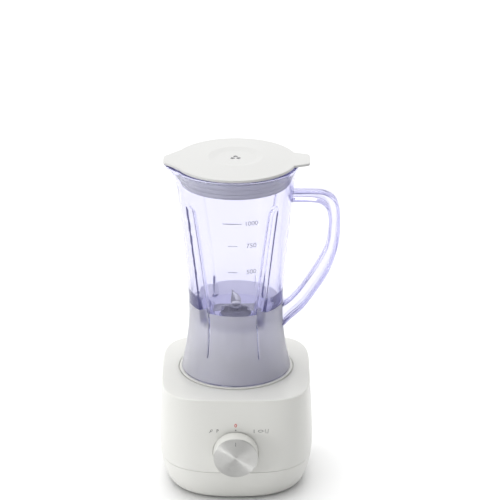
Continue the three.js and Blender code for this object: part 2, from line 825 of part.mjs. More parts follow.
// Rubber sleeve round the lid's plug, with three sealing ridges.
function lidGasket() {
  const outer = (z, stand) => [plugRadius(z) + 1.1 + stand, z];
  const ridges = [-15.5, -10, -4.5].flatMap((z) => [outer(z - 1.6, 0), outer(z, 0.7), outer(z + 1.6, 0)]);
  return lathe(
    [[plugRadius(-18.4) + GAP, -18.4], outer(-18.4, 0), ...ridges, outer(-0.8, 0), [plugRadius(-0.8) + GAP, -0.8]],
    36,
  );
}

// ---- Materials ----

function material(color, roughness, metalness = 0, opacity = 1) {
  return new THREE.MeshStandardMaterial({
    color,
    roughness,
    metalness,
    opacity,
    transparent: opacity < 1,
  });
}

const whitePlastic = material(0xf0efea, 0.45);
const innerPlastic = material(0x9a9a96, 0.6);
const rubber = material(0x8a8a86, 0.85);
const gasketRubber = material(0xdcdbd2, 0.7);
const clearPlastic = material(0xdfe0f6, 0.08, 0, 0.35);
const frostedPlastic = material(0xeceef2, 0.35, 0, 0.7);
const brushedSteel = material(0xc4c6c2, 0.3, 0.9);
const lamination = material(0x5a5c60, 0.5, 0.8);
const copper = material(0xb06a3a, 0.4, 0.8);
const carbon = material(0x2a2a2c, 0.8);

// ---- Assembly ----

function group(parent, x = 0, y = 0, z = 0) {
  const made = new THREE.Group();
  made.position.set(x, y, z);
  parent.add(made);
  return made;
}

function piece(parent, name, geometry, finish, x = 0, y = 0, z = 0) {
  const mesh = new THREE.Mesh(geometry, finish);
  mesh.name = name;
  mesh.position.set(x, y, z);
  parent.add(mesh);
  return mesh;
}

function buildCase(base) {
  piece(base, "housing", housing(), whitePlastic);
  piece(base, "bottom_cover", bottomCover(), whitePlastic);
  piece(base, "jug_seat", jugSeat(), whitePlastic);
  piece(base, "shaft_seal", shaftSeal(), rubber, 0, 0, SEAT_Z - 0.5);
  for (const [place, x, y] of corners(FOOT_X, FOOT_Y))
    piece(base, `foot_${place}`, foot(), rubber, x, y + CASE_CENTRE_Y, 0);
  for (const [place, x, y] of corners(SCREW_X, SCREW_Y))
    piece(base, `base_screw_${place}`, baseScrew(), brushedSteel, x, y + CASE_CENTRE_Y, 1.6);
  const flangeY = rearWallY(GLAND_Z) - 0.6 + GAP + 2.4;
  const gland = piece(base, "cord_gland", cordGland(), rubber, 0, flangeY, GLAND_Z);
  gland.rotation.x = Math.PI / 2;
}

function buildControls(base) {
  const wall = frontWallY(KNOB_Z);
  const knob = group(base, 0, wall + 0.5, KNOB_Z);
  knob.rotation.x = Math.PI / 2 + KNOB_TILT; // local +Z points out of the front wall
  piece(knob, "knob_body", knobBody(), whitePlastic);
  piece(knob, "knob_face", knobFace(), brushedSteel, 0, 0, KNOB_DEPTH - 1.4 + GAP);
  piece(knob, "knob_spindle", knobSpindle(), brushedSteel, 0, 0, KNOB_DEPTH - 1.8 - 22);
  piece(knob, "rotary_switch", rotarySwitch(), innerPlastic, 0, 0, -21);

  const [x, y] = polar(INTERLOCK_R, INTERLOCK_ANGLE);
  const turned = THREE.MathUtils.degToRad(INTERLOCK_ANGLE);
  const pin = group(base, x, y, SEAT_Z - 14);
  pin.rotation.z = turned;
  piece(pin, "interlock_pin", interlockPin(), innerPlastic);
  const spring = piece(base, "interlock_spring", interlockSpring(), brushedSteel, x, y, 100.9);
  spring.rotation.z = turned;
  const micro = piece(base, "interlock_switch", roundedBlock(11, 15, 10, 1.5), carbon, x, y, 90);
  micro.rotation.z = turned;
  piece(base, "suppressor_capacitor", roundedBlock(9, 26, 20, 2), innerPlastic, 66, -12, 48);
}

function buildMotor(base) {
  const [statorBottom, statorTop] = STATOR_Z;
  piece(base, "stator_core", stator(), lamination, 0, 0, statorBottom);
  piece(base, "field_coil_left", fieldCoil(180), copper, 0, 0, COIL_Z[0]);
  piece(base, "field_coil_right", fieldCoil(0), copper, 0, 0, COIL_Z[0]);
  const upper = piece(base, "upper_bracket", bracket(11, 5), brushedSteel, 0, 0, 111.5);
  upper.rotation.x = Math.PI; // its bearing seat points down
  piece(base, "upper_bearing", bearing(11, 8), brushedSteel, 0, 0, 102);
  piece(base, "lower_bracket", bracket(9, 4), innerPlastic, 0, 0, 25);
  piece(base, "lower_bearing", bearing(9, 7), brushedSteel, 0, 0, 26);
  for (const [side, sign] of [["left", -1], ["right", 1]]) {
    piece(base, `motor_bolt_${side}`, motorBolt(92), brushedSteel, sign * BOLT_X, 0, 24.5);
    piece(base, `brush_holder_${side}`, brushHolder(), innerPlastic, sign * 22, 0, 35);
    piece(base, `carbon_brush_${side}`, carbonBrush(), carbon, sign * 18, 0, 36.5);
  }
  for (const [place, x, y] of corners(32, 7))
    piece(base, `motor_damper_${place}`, damper(), rubber, x, y, 111.9);

  const rotor = group(base);
  piece(rotor, "motor_shaft", motorShaft(), brushedSteel, 0, 0, 14);
  piece(rotor, "armature_core", armature(), lamination, 0, 0, statorBottom - 1);
  piece(rotor, "upper_winding", endWinding(), copper, 0, 0, statorTop + 1.5);
  const lowerWinding = piece(rotor, "lower_winding", endWinding(), copper, 0, 0, statorBottom - 1.5);
  lowerWinding.rotation.x = Math.PI;
  piece(rotor, "commutator", commutator(), copper, 0, 0, 36);
  piece(rotor, "cooling_fan", coolingFan(), innerPlastic, 0, 0, 12);
  piece(rotor, "coupler_skirt", couplerSkirt(), whitePlastic, 0, 0, COUPLER_Z);
  piece(rotor, "drive_coupler", driveCoupler(), frostedPlastic, 0, 0, COUPLER_Z + SKIRT_HEIGHT + GAP);
}

function buildJug(base) {
  const jugGroup = group(base, 0, 0, JUG_Z);
  piece(jugGroup, "jug", jug(), clearPlastic);

  const unit = group(jugGroup, 0, 0, JUG_FLOOR_Z);
  piece(unit, "blade_bushing", bladeBushing(), innerPlastic);
  piece(unit, "floor_gasket", floorGasket(), rubber);
  piece(unit, "bushing_nut", bushingNut(), innerPlastic, 0, 0, -10.5);
  piece(unit, "blade_shaft", bladeShaft(), brushedSteel, 0, 0, -22);
  piece(unit, "lower_blade", blade(31, -0.22), brushedSteel, 0, 0, 8.4);
  const upperBlade = piece(unit, "upper_blade", blade(29, 0.5), brushedSteel, 0, 0, 9.9);
  upperBlade.rotation.z = Math.PI / 2;
  piece(unit, "blade_cap", bladeCap(), brushedSteel, 0, 0, 11.4);
  piece(unit, "jug_coupler", jugCoupler(), frostedPlastic, 0, 0, 136.2 - JUG_Z - JUG_FLOOR_Z);

  const lidGroup = group(jugGroup, 0, 0, JUG_HEIGHT + GAP);
  piece(lidGroup, "lid", lid(), whitePlastic);
  piece(lidGroup, "lid_gasket", lidGasket(), gasketRubber);
}

const blender = new THREE.Group();
buildCase(blender);
buildControls(blender);
buildMotor(blender);
buildJug(blender);

export default blender;
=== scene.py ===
import math

import bmesh
import bpy
from mathutils import Matrix, Vector


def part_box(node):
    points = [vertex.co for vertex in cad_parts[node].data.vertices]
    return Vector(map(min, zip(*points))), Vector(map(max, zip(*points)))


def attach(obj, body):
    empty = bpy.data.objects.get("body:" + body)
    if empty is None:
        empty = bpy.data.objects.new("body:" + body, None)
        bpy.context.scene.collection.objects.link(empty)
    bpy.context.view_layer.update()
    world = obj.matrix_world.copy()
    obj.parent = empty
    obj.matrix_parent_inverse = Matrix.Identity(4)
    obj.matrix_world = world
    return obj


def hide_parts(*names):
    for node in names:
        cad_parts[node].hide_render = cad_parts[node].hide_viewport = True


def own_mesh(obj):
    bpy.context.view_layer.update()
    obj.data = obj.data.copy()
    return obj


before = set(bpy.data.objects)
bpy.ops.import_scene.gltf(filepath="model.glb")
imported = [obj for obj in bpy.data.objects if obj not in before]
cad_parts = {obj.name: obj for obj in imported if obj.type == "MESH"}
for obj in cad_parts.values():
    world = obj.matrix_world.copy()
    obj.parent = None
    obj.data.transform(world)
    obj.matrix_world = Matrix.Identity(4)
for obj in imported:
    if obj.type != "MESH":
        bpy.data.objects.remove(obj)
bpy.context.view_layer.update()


# ---- The studio ----
# A pale floor under one wide softbox, with a small low key light at the left front and a plain
# white room round it. The camera stands well back in front of the blender and looks down at it.

def into_scene(name, data):
    thing = bpy.data.objects.new(name, data)
    bpy.context.collection.objects.link(thing)
    return thing


camera = into_scene("camera", bpy.data.cameras.new("camera"))
camera.data.lens = 180
camera.data.sensor_width = 36
camera.location = (0.0151, -2.4592, 1.2636)
camera.rotation_euler = (math.radians(67.7), 0, 0)
bpy.context.scene.camera = camera
bpy.context.scene.view_settings.view_transform = "Standard"


def softbox(name, place, aim, width, height, power):
    light = into_scene(name, bpy.data.lights.new(name, "AREA"))
    light.data.shape = "RECTANGLE"
    light.data.size = width
    light.data.size_y = height
    light.data.energy = power
    light.location = place
    light.rotation_euler = (Vector(aim) - Vector(place)).to_track_quat("-Z", "Y").to_euler()


softbox("overhead_softbox", (-0.15, 0.45, 3.4), (0, 0, 0.2), 2.6, 2.6, 73)
softbox("key_softbox", (-1.6, -1.15, 0.16), (0, 0, 0.08), 0.2, 0.2, 7.5)

# The room is white behind, above and to the left, and falls off towards the front right.
room = bpy.data.worlds.new("room")
room.use_nodes = True
walls = room.node_tree
way = walls.nodes.new("ShaderNodeTexCoord")
towards = walls.nodes.new("ShaderNodeVectorMath")
towards.operation = "DOT_PRODUCT"
towards.inputs[1].default_value = (-0.5, 0.72, 0.48)
falloff = walls.nodes.new("ShaderNodeMapRange")
falloff.interpolation_type = "SMOOTHSTEP"
for socket, value in (("From Min", -0.75), ("From Max", 0.25), ("To Min", 0.15), ("To Max", 1)):
    falloff.inputs[socket].default_value = value
walls.links.new(way.outputs["Generated"], towards.inputs[0])
walls.links.new(towards.outputs["Value"], falloff.inputs["Value"])
walls.links.new(falloff.outputs["Result"], walls.nodes["Background"].inputs["Strength"])
walls.nodes["Background"].inputs["Color"].default_value = (1, 1, 1, 1)
bpy.context.scene.world = room


def new_finish(name, colour, roughness, **sockets):
    """A material on the standard shader, and that shader."""
    finish = bpy.data.materials.new(name)
    finish.use_nodes = True
    shader = finish.node_tree.nodes["Principled BSDF"]
    shader.inputs["Base Color"].default_value = (*colour, 1)
    shader.inputs["Roughness"].default_value = roughness
    for socket, value in sockets.items():
        shader.inputs[socket.replace("_", " ").title().replace("Ior", "IOR")].default_value = value
    return finish, shader


def speckle(shader, scale, detail=3, stretch=(1, 1, 1)):
    """Fine noise fixed to the piece; scale is in waves per metre."""
    tree = shader.id_data
    place = tree.nodes.new("ShaderNodeTexCoord")
    mapping = tree.nodes.new("ShaderNodeMapping")
    mapping.inputs["Scale"].default_value = stretch
    noise = tree.nodes.new("ShaderNodeTexNoise")
    noise.inputs["Scale"].default_value = scale
    noise.inputs["Detail"].default_value = detail
    tree.links.new(place.outputs["Object"], mapping.inputs["Vector"])
    tree.links.new(mapping.outputs["Vector"], noise.inputs["Vector"])
    return noise.outputs["Fac"]


def shade_between(shader, factor, dark, light):
    """Lets the colour, or for plain numbers the roughness, run from dark to light with the factor."""
    tree = shader.id_data
    if isinstance(dark, float):
        ramp = tree.nodes.new("ShaderNodeMapRange")
        for socket, value in (("From Min", 0.3), ("From Max", 0.7), ("To Min", dark), ("To Max", light)):
            ramp.inputs[socket].default_value = value
        tree.links.new(factor, ramp.inputs["Value"])
        tree.links.new(ramp.outputs["Result"], shader.inputs["Roughness"])
        return
    ramp = tree.nodes.new("ShaderNodeMix")
    ramp.data_type = "RGBA"
    ramp.inputs["A"].default_value = (*dark, 1)
    ramp.inputs["B"].default_value = (*light, 1)
    tree.links.new(factor, ramp.inputs["Factor"])
    tree.links.new(ramp.outputs["Result"], shader.inputs["Base Color"])


def roughen(shader, factor, depth):
    """Bump of that depth in metres."""
    tree = shader.id_data
    bump = tree.nodes.new("ShaderNodeBump")
    bump.inputs["Strength"].default_value = 1
    bump.inputs["Distance"].default_value = depth
    tree.links.new(factor, bump.inputs["Height"])
    tree.links.new(bump.outputs["Normal"], shader.inputs["Normal"])


floor_finish, shader = new_finish("floor_finish", (0.88, 0.88, 0.88), 0.55)
shade_between(shader, speckle(shader, 40), (0.875, 0.875, 0.875), (0.885, 0.885, 0.885))
floor_mesh = bpy.data.meshes.new("floor")
FLOOR_REACH = 6
floor_corners = [(FLOOR_REACH * x, FLOOR_REACH * y, 0) for x, y in ((-1, -1), (1, -1), (1, 1), (-1, 1))]
floor_mesh.from_pydata(floor_corners, [], [(0, 1, 2, 3)])
floor_mesh.materials.append(floor_finish)
floor = into_scene("floor", floor_mesh)


# ---- Housing ----
# The upper shell of the base, moulded in glossy white plastic, with a shallow dish in its top for
# the jug seat and a shallow round pocket in its front wall for the knob. Lengths are in millimetres.

def box_mm(node):
    """(lowest corner, highest corner) of a node, in millimetres."""
    low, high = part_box(node)
    return [1000 * v for v in low], [1000 * v for v in high]


def new_piece(name, points, faces):
    """A piece from points in millimetres, with its faces turned outwards."""
    mesh = bpy.data.meshes.new(name)
    mesh.from_pydata([[v / 1000 for v in point] for point in points], [], faces)
    work = bmesh.new()
    work.from_mesh(mesh)
    bmesh.ops.recalc_face_normals(work, faces=work.faces)
    work.to_mesh(mesh)
    work.free()
    piece = into_scene(name, mesh)
    smooth(piece)
    return piece


def smooth(piece, edge_angle=32):
    piece.data.shade_smooth()
    piece.data.set_sharp_from_angle(angle=math.radians(edge_angle))


def settle(piece, edge_angle=32):
    """Makes the piece's modifiers part of its mesh."""
    bpy.context.view_layer.update()
    made = piece.evaluated_get(bpy.context.evaluated_depsgraph_get())
    piece.data = bpy.data.meshes.new_from_object(made)
    piece.data.materials.clear()
    piece.modifiers.clear()
    smooth(piece, edge_angle)


def combine(piece, operation, tools):
    """Cuts the tools from the piece, joins them to it, or keeps what they share."""
    for tool in tools:
        step = piece.modifiers.new("combine", "BOOLEAN")
        step.solver = "MANIFOLD"
        step.operation = operation
        step.object = tool
    settle(piece)
    for tool in tools:
        bpy.data.objects.remove(tool)


def rounded(corners, steps=6, base=0):
    """The outline of a section. Each corner is (across, up from the base, radius of its rounding)."""
    corners = [(across, base + up, radius) for across, up, radius in corners]
    outline = []
    for i, (across, up, radius) in enumerate(corners):
        corner = Vector((across, up))
        if not radius:
            outline.append(tuple(corner))
            continue
        back = (Vector(corners[i - 1][:2]) - corner).normalized()
        ahead = (Vector(corners[(i + 1) % len(corners)][:2]) - corner).normalized()
        half = back.angle(ahead) / 2
        centre = corner + (back + ahead).normalized() * radius / math.sin(half)
        spokes = [corner + way * radius / math.tan(half) - centre for way in (back, ahead)]
        start, end = [math.atan2(spoke.y, spoke.x) for spoke in spokes]
        sweep = (end - start + math.pi) % (2 * math.pi) - math.pi
        for step in range(steps + 1):
            angle = start + sweep * step / steps
            outline.append((centre.x + radius * math.cos(angle), centre.y + radius * math.sin(angle)))
    return outline


def upright(radius, height, angle):
    return radius * math.cos(angle), radius * math.sin(angle), height


def turned(name, section, segments=128, place=upright, angles=None):
    """A turned piece. The section is (radius, height) points, from axis to axis or in a closed loop."""
    angles = angles or [2 * math.pi * i / segments for i in range(segments)]
    points, rings = [], []
    for radius, height in section:
        start = len(points)
        if radius < 1e-6:
            points.append((0, 0, height))
        else:
            points += [place(radius, height, angle) for angle in angles]
        rings.append(range(start, len(points)))
    faces = []
    loop_closed = section[0][0] > 1e-6 and section[-1][0] > 1e-6
    for lower, upper in zip(rings, rings[1:] + rings[:1] if loop_closed else rings[1:]):
        for i in range(len(angles)):
            j = (i + 1) % len(angles)
            spots = ((lower, i), (lower, j), (upper, j), (upper, i))
            faces.append(list(dict.fromkeys(ring[k % len(ring)] for ring, k in spots)))
    return new_piece(name, points, faces)


def round_bar(radius, low, high, segments=48):
    return turned("round_bar", [(0, low), (radius, low), (radius, high), (0, high)], segments)


def facing_front(place, tilt=0):
    """Turns an upright thing to point at the front and, with a tilt, slightly down, at that place."""
    return Matrix.Translation(Vector(place) / 1000) @ Matrix.Rotation(math.pi / 2 + tilt, 4, "X")


def along_y(radius, y, z, depth, segments=96, tilt=0):
    bar = round_bar(radius, 0, depth, segments)
    bar.matrix_world = facing_front((0, y, z), tilt)
    return bar


SHELL = 2.8
CASE_FLOOR_Z = box_mm("bottom_cover")[0][2] + 1
CASE_TOP_Z = box_mm("housing")[1][2]
SEAM_Z = box_mm("bottom_cover")[1][2]
CASE_HALF_WIDTH = box_mm("housing")[1][0]
CASE_CENTRE_Y = -8.5
CASE_WIDEST_Z = 48
CASE_TOP_NARROWER = 3.4
CASE_FLOOR_HALF_WIDTH = 71.5
CASE_ROLL = 1.62
CASE_DEEPER = 4.8
CASE_SQUARE = (2.58, 4)
CASE_EDGE_R = 1.6
SEAT_R = box_mm("jug_seat")[1][0]
SEAT_Z = box_mm("jug")[0][2] - 0.3
CASE_SEGMENTS = 240


def stepped(radius, height, steps):
    """Section points, each (out, up) from that radius and height."""
    return [(radius + out, height + up) for out, up in steps]


def case_half_width(z):
    if z >= CASE_WIDEST_Z:
        up = (z - CASE_WIDEST_Z) / (CASE_TOP_Z - CASE_WIDEST_Z)
        return CASE_HALF_WIDTH - CASE_TOP_NARROWER * up**1.4
    down = min(1, (CASE_WIDEST_Z - z) / (CASE_WIDEST_Z - CASE_FLOOR_Z))
    spread = CASE_HALF_WIDTH - CASE_FLOOR_HALF_WIDTH
    return CASE_FLOOR_HALF_WIDTH + spread * (1 - down**CASE_ROLL) ** (1 / CASE_ROLL)


def ease(low, high, value):
    t = min(1, max(0, (value - low) / (high - low)))
    return t * t * (3 - 2 * t)


def case_point(radius, z, angle, round_to=SEAT_R + 1, square_from=SEAT_R + 13):
    """A point of the case's plan: a rounded square at the walls, a circle at the seat."""
    square = ease(round_to, square_from, radius)
    height = z / CASE_TOP_Z
    power = 2 + (CASE_SQUARE[0] + (CASE_SQUARE[1] - CASE_SQUARE[0]) * height - 2) * square
    c, s = math.cos(angle), math.sin(angle)
    deep = radius + CASE_DEEPER * height * square
    reach = (abs(c / radius) ** power + abs(s / deep) ** power) ** (-1 / power)
    return reach * c, reach * s + CASE_CENTRE_Y * square, z


def front_wall(x, z):
    """The y of the front wall's face at that x and z."""
    power = CASE_SQUARE[0] + (CASE_SQUARE[1] - CASE_SQUARE[0]) * z / CASE_TOP_Z
    half = case_half_width(z)
    depth = half + CASE_DEEPER * z / CASE_TOP_Z
    return CASE_CENTRE_Y - depth * (1 - abs(x / half) ** power) ** (1 / power)


edge_z = CASE_TOP_Z - CASE_EDGE_R
edge_half = case_half_width(edge_z)
wall_heights = [SEAM_Z + 0.35 + (edge_z - SEAM_Z - 0.45) * i / 26 for i in range(27)]
edge_arc = [math.radians(90 * i / 6) for i in range(1, 7)]
housing_section = (
    [(case_half_width(SEAM_Z + 0.35) - 0.5, SEAM_Z + 0.4)]
    + [(case_half_width(z), z) for z in wall_heights]
    + [
        (edge_half - CASE_EDGE_R * (1 - math.cos(a)), edge_z + CASE_EDGE_R * math.sin(a))
        for a in edge_arc
    ]
    + stepped(SEAT_R, CASE_TOP_Z, [(9, -0.5), (5, -0.9), (2, -1.4), (1.2, -1.9), (0.9, -2.4)])
    + stepped(SEAT_R, SEAT_Z, [(0.85, -3.1), (-9.8, -3.1), (-9.8, -5.7), (1, -5.7)])
    + [(edge_half - SHELL - 1, CASE_TOP_Z - SHELL), (edge_half - SHELL, CASE_TOP_Z - SHELL - 1)]
    + [(case_half_width(z) - SHELL, z) for z in reversed(wall_heights[:-2:3])]
)
housing = turned("housing_shell", housing_section, CASE_SEGMENTS, case_point)

knob_low, knob_high = box_mm("knob_body")
KNOB_Z = (knob_low[2] + knob_high[2]) / 2 + 0.4
KNOB_TILT = math.radians(4.5)
KNOB_R = 23.9
knob_pocket = along_y(KNOB_R + 0.7, front_wall(0, KNOB_Z) + 1.2, KNOB_Z, 8, 160, KNOB_TILT)
combine(housing, "DIFFERENCE", [knob_pocket])


def moulded_white(name, colour, roughness):
    """Glossy moulded plastic: a nearly even colour, with a faint orange-peel to its gloss."""
    finish, shader = new_finish(name, colour, roughness, coat_weight=0.25, coat_roughness=0.12)
    drift = speckle(shader, 18, 2)
    shade_between(shader, drift, [c * 0.985 for c in colour], [c * 1.015 for c in colour])
    shade_between(shader, speckle(shader, 900, 4), roughness - 0.04, roughness + 0.05)
    roughen(shader, speckle(shader, 2600, 2), 0.000012)
    return finish


def fit(piece, finish, body, node):
    """Gives the piece its finish and its body, in the place of its CAD node."""
    piece.data.materials.append(finish)
    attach(piece, body)
    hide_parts(node)


case_white = moulded_white("case_white", (0.68, 0.68, 0.65), 0.34)
fit(housing, case_white, "base", "housing")


# ---- Bottom cover ----
# The lower shell, in the same white plastic, screwed on from below. A fine seam parts it from the
# housing; its floor has six air slots, a low round label pad and a hole for the mains lead's gland.

cover_heights = [CASE_FLOOR_Z + (SEAM_Z - CASE_FLOOR_Z) * (i / 20) ** 1.6 for i in range(21)]
PAD_R = 16
FLOOR_EDGE_R = 1.2


def cover_point(radius, z, angle):
    return case_point(radius, z, angle, PAD_R + 1, PAD_R + 12)


cover_section = (
    [(0, CASE_FLOOR_Z - 1), *stepped(PAD_R, CASE_FLOOR_Z, [(-0.5, -1), (0, -0.7), (0.8, 0), (12, 0)])]
    + [(CASE_FLOOR_HALF_WIDTH - FLOOR_EDGE_R, CASE_FLOOR_Z)]
    + [(case_half_width(CASE_FLOOR_Z + 0.5), CASE_FLOOR_Z + 0.5)]
    + [(case_half_width(z), z) for z in cover_heights[3:-1]]
    + [(case_half_width(SEAM_Z) - 0.1, SEAM_Z - 0.2), (case_half_width(SEAM_Z) - 0.5, SEAM_Z)]
    + [(case_half_width(z) - SHELL, z) for z in reversed(cover_heights[8::4])]
    + [(radius, CASE_FLOOR_Z + SHELL) for radius in (CASE_FLOOR_HALF_WIDTH - SHELL, PAD_R, 0)]
)
cover = turned("bottom_shell", cover_section, CASE_SEGMENTS, cover_point)


def loft_faces(rings, count, start=0):
    """The faces of a body that runs through rings of count points: its sides, then its two ends."""
    faces = []
    last = start + (rings - 1) * count
    for low in range(start, last, count):
        for i in range(count):
            j = (i + 1) % count
            faces.append((low + i, low + j, low + count + j, low + count + i))
    return [*faces, range(start, start + count), range(last, last + count)]


def prism(name, outline, low, high):
    """An outline of (x, y) points carried from one height to another."""
    points = [(x, y, z) for z in (low, high) for x, y in outline]
    return new_piece(name, points, loft_faces(2, len(outline)))


def slot_outline(x, y, width, length):
    """A slot with round ends, along Y."""
    ends = [(length / 2 - width / 2, 0), (width / 2 - length / 2, math.pi)]
    bends = [(shift, turn + math.pi * i / 8) for shift, turn in ends for i in range(9)]
    return [(x + width / 2 * math.cos(t), y + shift + width / 2 * math.sin(t)) for shift, t in bends]


air_slots = [
    prism("slot", slot_outline(x, CASE_CENTRE_Y, 3.2, 34), -2, CASE_FLOOR_Z + 8)
    for x in (-38, -30, -22, 22, 30, 38)
]


def centre_of(node):
    (x0, y0, _), (x1, y1, _) = box_mm(node)
    return (x0 + x1) / 2000, (y0 + y1) / 2000, 0


def hole_down(radius, node, deep=12):
    """A round hole up through the floor, on a node's middle."""
    cutter = round_bar(radius, -2, deep)
    cutter.location = centre_of(node)
    return cutter


CORNERS = ("front_left", "front_right", "rear_left", "rear_right")
screw_wells = [hole_down(5, f"base_screw_{corner}", 3.9) for corner in CORNERS]
foot_holes = [hole_down(4, f"foot_{corner}") for corner in CORNERS]
gland_low, gland_high = box_mm("cord_gland")
GLAND_Z = (gland_low[2] + gland_high[2]) / 2
cord_hole = along_y(6.2, gland_high[1] + 8, GLAND_Z, 30)
flange_seat = along_y(8.3, gland_high[1] + 8, GLAND_Z, 8 + 2.4 + 0.3)
combine(cover, "DIFFERENCE", [*air_slots, *screw_wells, *foot_holes, cord_hole, flange_seat])
fit(cover, case_white, "base", "bottom_cover")


# ---- Feet, base screws and cord gland ----
# Four grey rubber feet are pushed up through the floor, four steel cross-head screws hold the two
# shells together, and a rubber grommet lines the hole for the mains lead at the back.

rubber_grey, shader = new_finish("rubber_grey", (0.3, 0.3, 0.29), 0.8, specular_ior_level=0.35)
shade_between(shader, speckle(shader, 500, 4), (0.26, 0.26, 0.25), (0.33, 0.33, 0.32))
roughen(shader, speckle(shader, 1500, 3), 0.00003)

bright_steel, shader = new_finish("bright_steel", (0.66, 0.66, 0.65), 0.3, metallic=1.0)
shade_between(shader, speckle(shader, 700, 3, (1, 1, 14)), 0.24, 0.4)
roughen(shader, speckle(shader, 900, 3, (1, 1, 14)), 0.000008)

foot_section = rounded(
    [(0, 0, 0), (4, 0.5, 0.8), (8.4, 0, 0.7), (9, 2.2, 0.5), (3.6, 2.2, 0.2), (3.6, 7, 0.4), (0, 7, 0)]
)
arm = [(0.45, 0.45), (0.45, 2), (-0.45, 2)]
quarter_turns = ((1, 0), (0, 1), (-1, 0), (0, -1))
cross = [(x * c - y * s, x * s + y * c) for c, s in quarter_turns for x, y in arm]
for corner in CORNERS:
    foot = turned(f"rubber_foot_{corner}", foot_section, 64)
    foot.location = centre_of(f"foot_{corner}")
    fit(foot, rubber_grey, "base", f"foot_{corner}")

    head_z = box_mm(f"base_screw_{corner}")[0][2]
    screw_section = rounded(
        [(0, 0, 0), (3.4, 0, 0.9), (3.9, 2, 0.2), (1.5, 2, 0.2), (1.5, 12.6, 0.2)]
        + [(0.4, 13.8, 0.1), (0, 13.8, 0)],
        base=head_z,
    )
    screw = turned(f"cross_screw_{corner}", screw_section, 48)
    screw.location = centre_of(f"base_screw_{corner}")
    recess = prism("recess", cross, head_z - 1, head_z + 1.2)
    recess.location = screw.location
    combine(screw, "DIFFERENCE", [recess])
    fit(screw, bright_steel, "base", f"base_screw_{corner}")

gland_section = rounded(
    [(3.4, 0, 0.8), (8, 0, 0.8), (8, 2.4, 0.3), (5.9, 2.4, 0.2), (5.9, 7.3, 0.2), (8, 7.3, 0.3)]
    + [(7.6, 9.3, 0.5), (3.4, 9.3, 0.5)]
)
gland = turned("lead_grommet", gland_section, 96)
gland.matrix_world = facing_front((0, gland_high[1], GLAND_Z))
fit(gland, rubber_grey, "base", "cord_gland")


# ---- Dial marks ----
# Pad-printed marks on the front wall: a red 0 over the knob with a pointer dot, a pulse letter to
# its left and a 1 to its right, each beside small pictograms.

PRINT_STAND = 0.1


def on_front_wall(piece):
    """Lays a flat piece, drawn in x and z, on the front wall."""
    for vertex in piece.data.vertices:
        x, y, z = (1000 * v for v in vertex.co)
        vertex.co.y = (front_wall(x, z) - PRINT_STAND * (1 if y < -0.5 else -1)) / 1000
    return piece


def plate_piece(name, outline, half_thick=1):
    """An upright plate, from an outline in x and z, with its middle on the XZ plane."""
    points = [(x, y, z) for y in (-half_thick, half_thick) for x, z in outline]
    return new_piece(name, points, loft_faces(2, len(outline)))


def lettering(name, text, size, x, z):
    """A word in a plain sans face, drawn upright in x and z and centred on (x, z)."""
    curve = bpy.data.curves.new(name, "FONT")
    curve.body = text
    curve.size = size / 1000
    curve.extrude = 0.001
    curve.offset = 0.00006
    curve.resolution_u = 6
    curve.align_x = "CENTER"
    curve.align_y = "CENTER"
    drawn = into_scene("drawn", curve)
    bpy.context.view_layer.update()
    mesh = bpy.data.meshes.new_from_object(drawn.evaluated_get(bpy.context.evaluated_depsgraph_get()))
    bpy.data.objects.remove(drawn)
    mesh.transform(facing_front((x, 0, z)))
    return into_scene(name, mesh)


def drawn_line(name, path, width=0.45, closed=False):
    """A printed line along a path of (x, z) points."""
    count = len(path)
    sides = [[], []]
    for i, spot in enumerate(path):
        before = Vector(path[i - 1] if i or closed else spot)
        after = Vector(path[(i + 1) % count] if i < count - 1 or closed else spot)
        run = (after - before).normalized() * width / 2
        sides[0].append((spot[0] - run.y, spot[1] + run.x))
        sides[1].append((spot[0] + run.y, spot[1] - run.x))
    points = [(x, y, z) for y in (-1, 1) for side in sides for x, z in side]
    front, back = 0, 2 * count
    faces = []
    for i in range(count if closed else count - 1):
        j = (i + 1) % count
        left = (front + i, front + j, back + j, back + i)
        right = tuple(corner + count for corner in left)
        faces += [left, right]
        faces += [(left[a], left[b], right[b], right[a]) for a, b in ((0, 1), (3, 2))]
    if not closed:
        for end in (0, count - 1):
            faces.append((front + end, front + count + end, back + count + end, back + end))
    return new_piece(name, points, faces)


def oval(x, z, wide, high, steps=28):
    turns = [2 * math.pi * i / steps for i in range(steps)]
    return [(x + wide / 2 * math.cos(t), z + high / 2 * math.sin(t)) for t in turns]


def printing_ink(name, colour):
    finish, shader = new_finish(name, colour, 0.45)
    darker, lighter = [[c * share for c in colour] for share in (0.85, 1.1)]
    shade_between(shader, speckle(shader, 3000, 2), darker, lighter)
    return finish


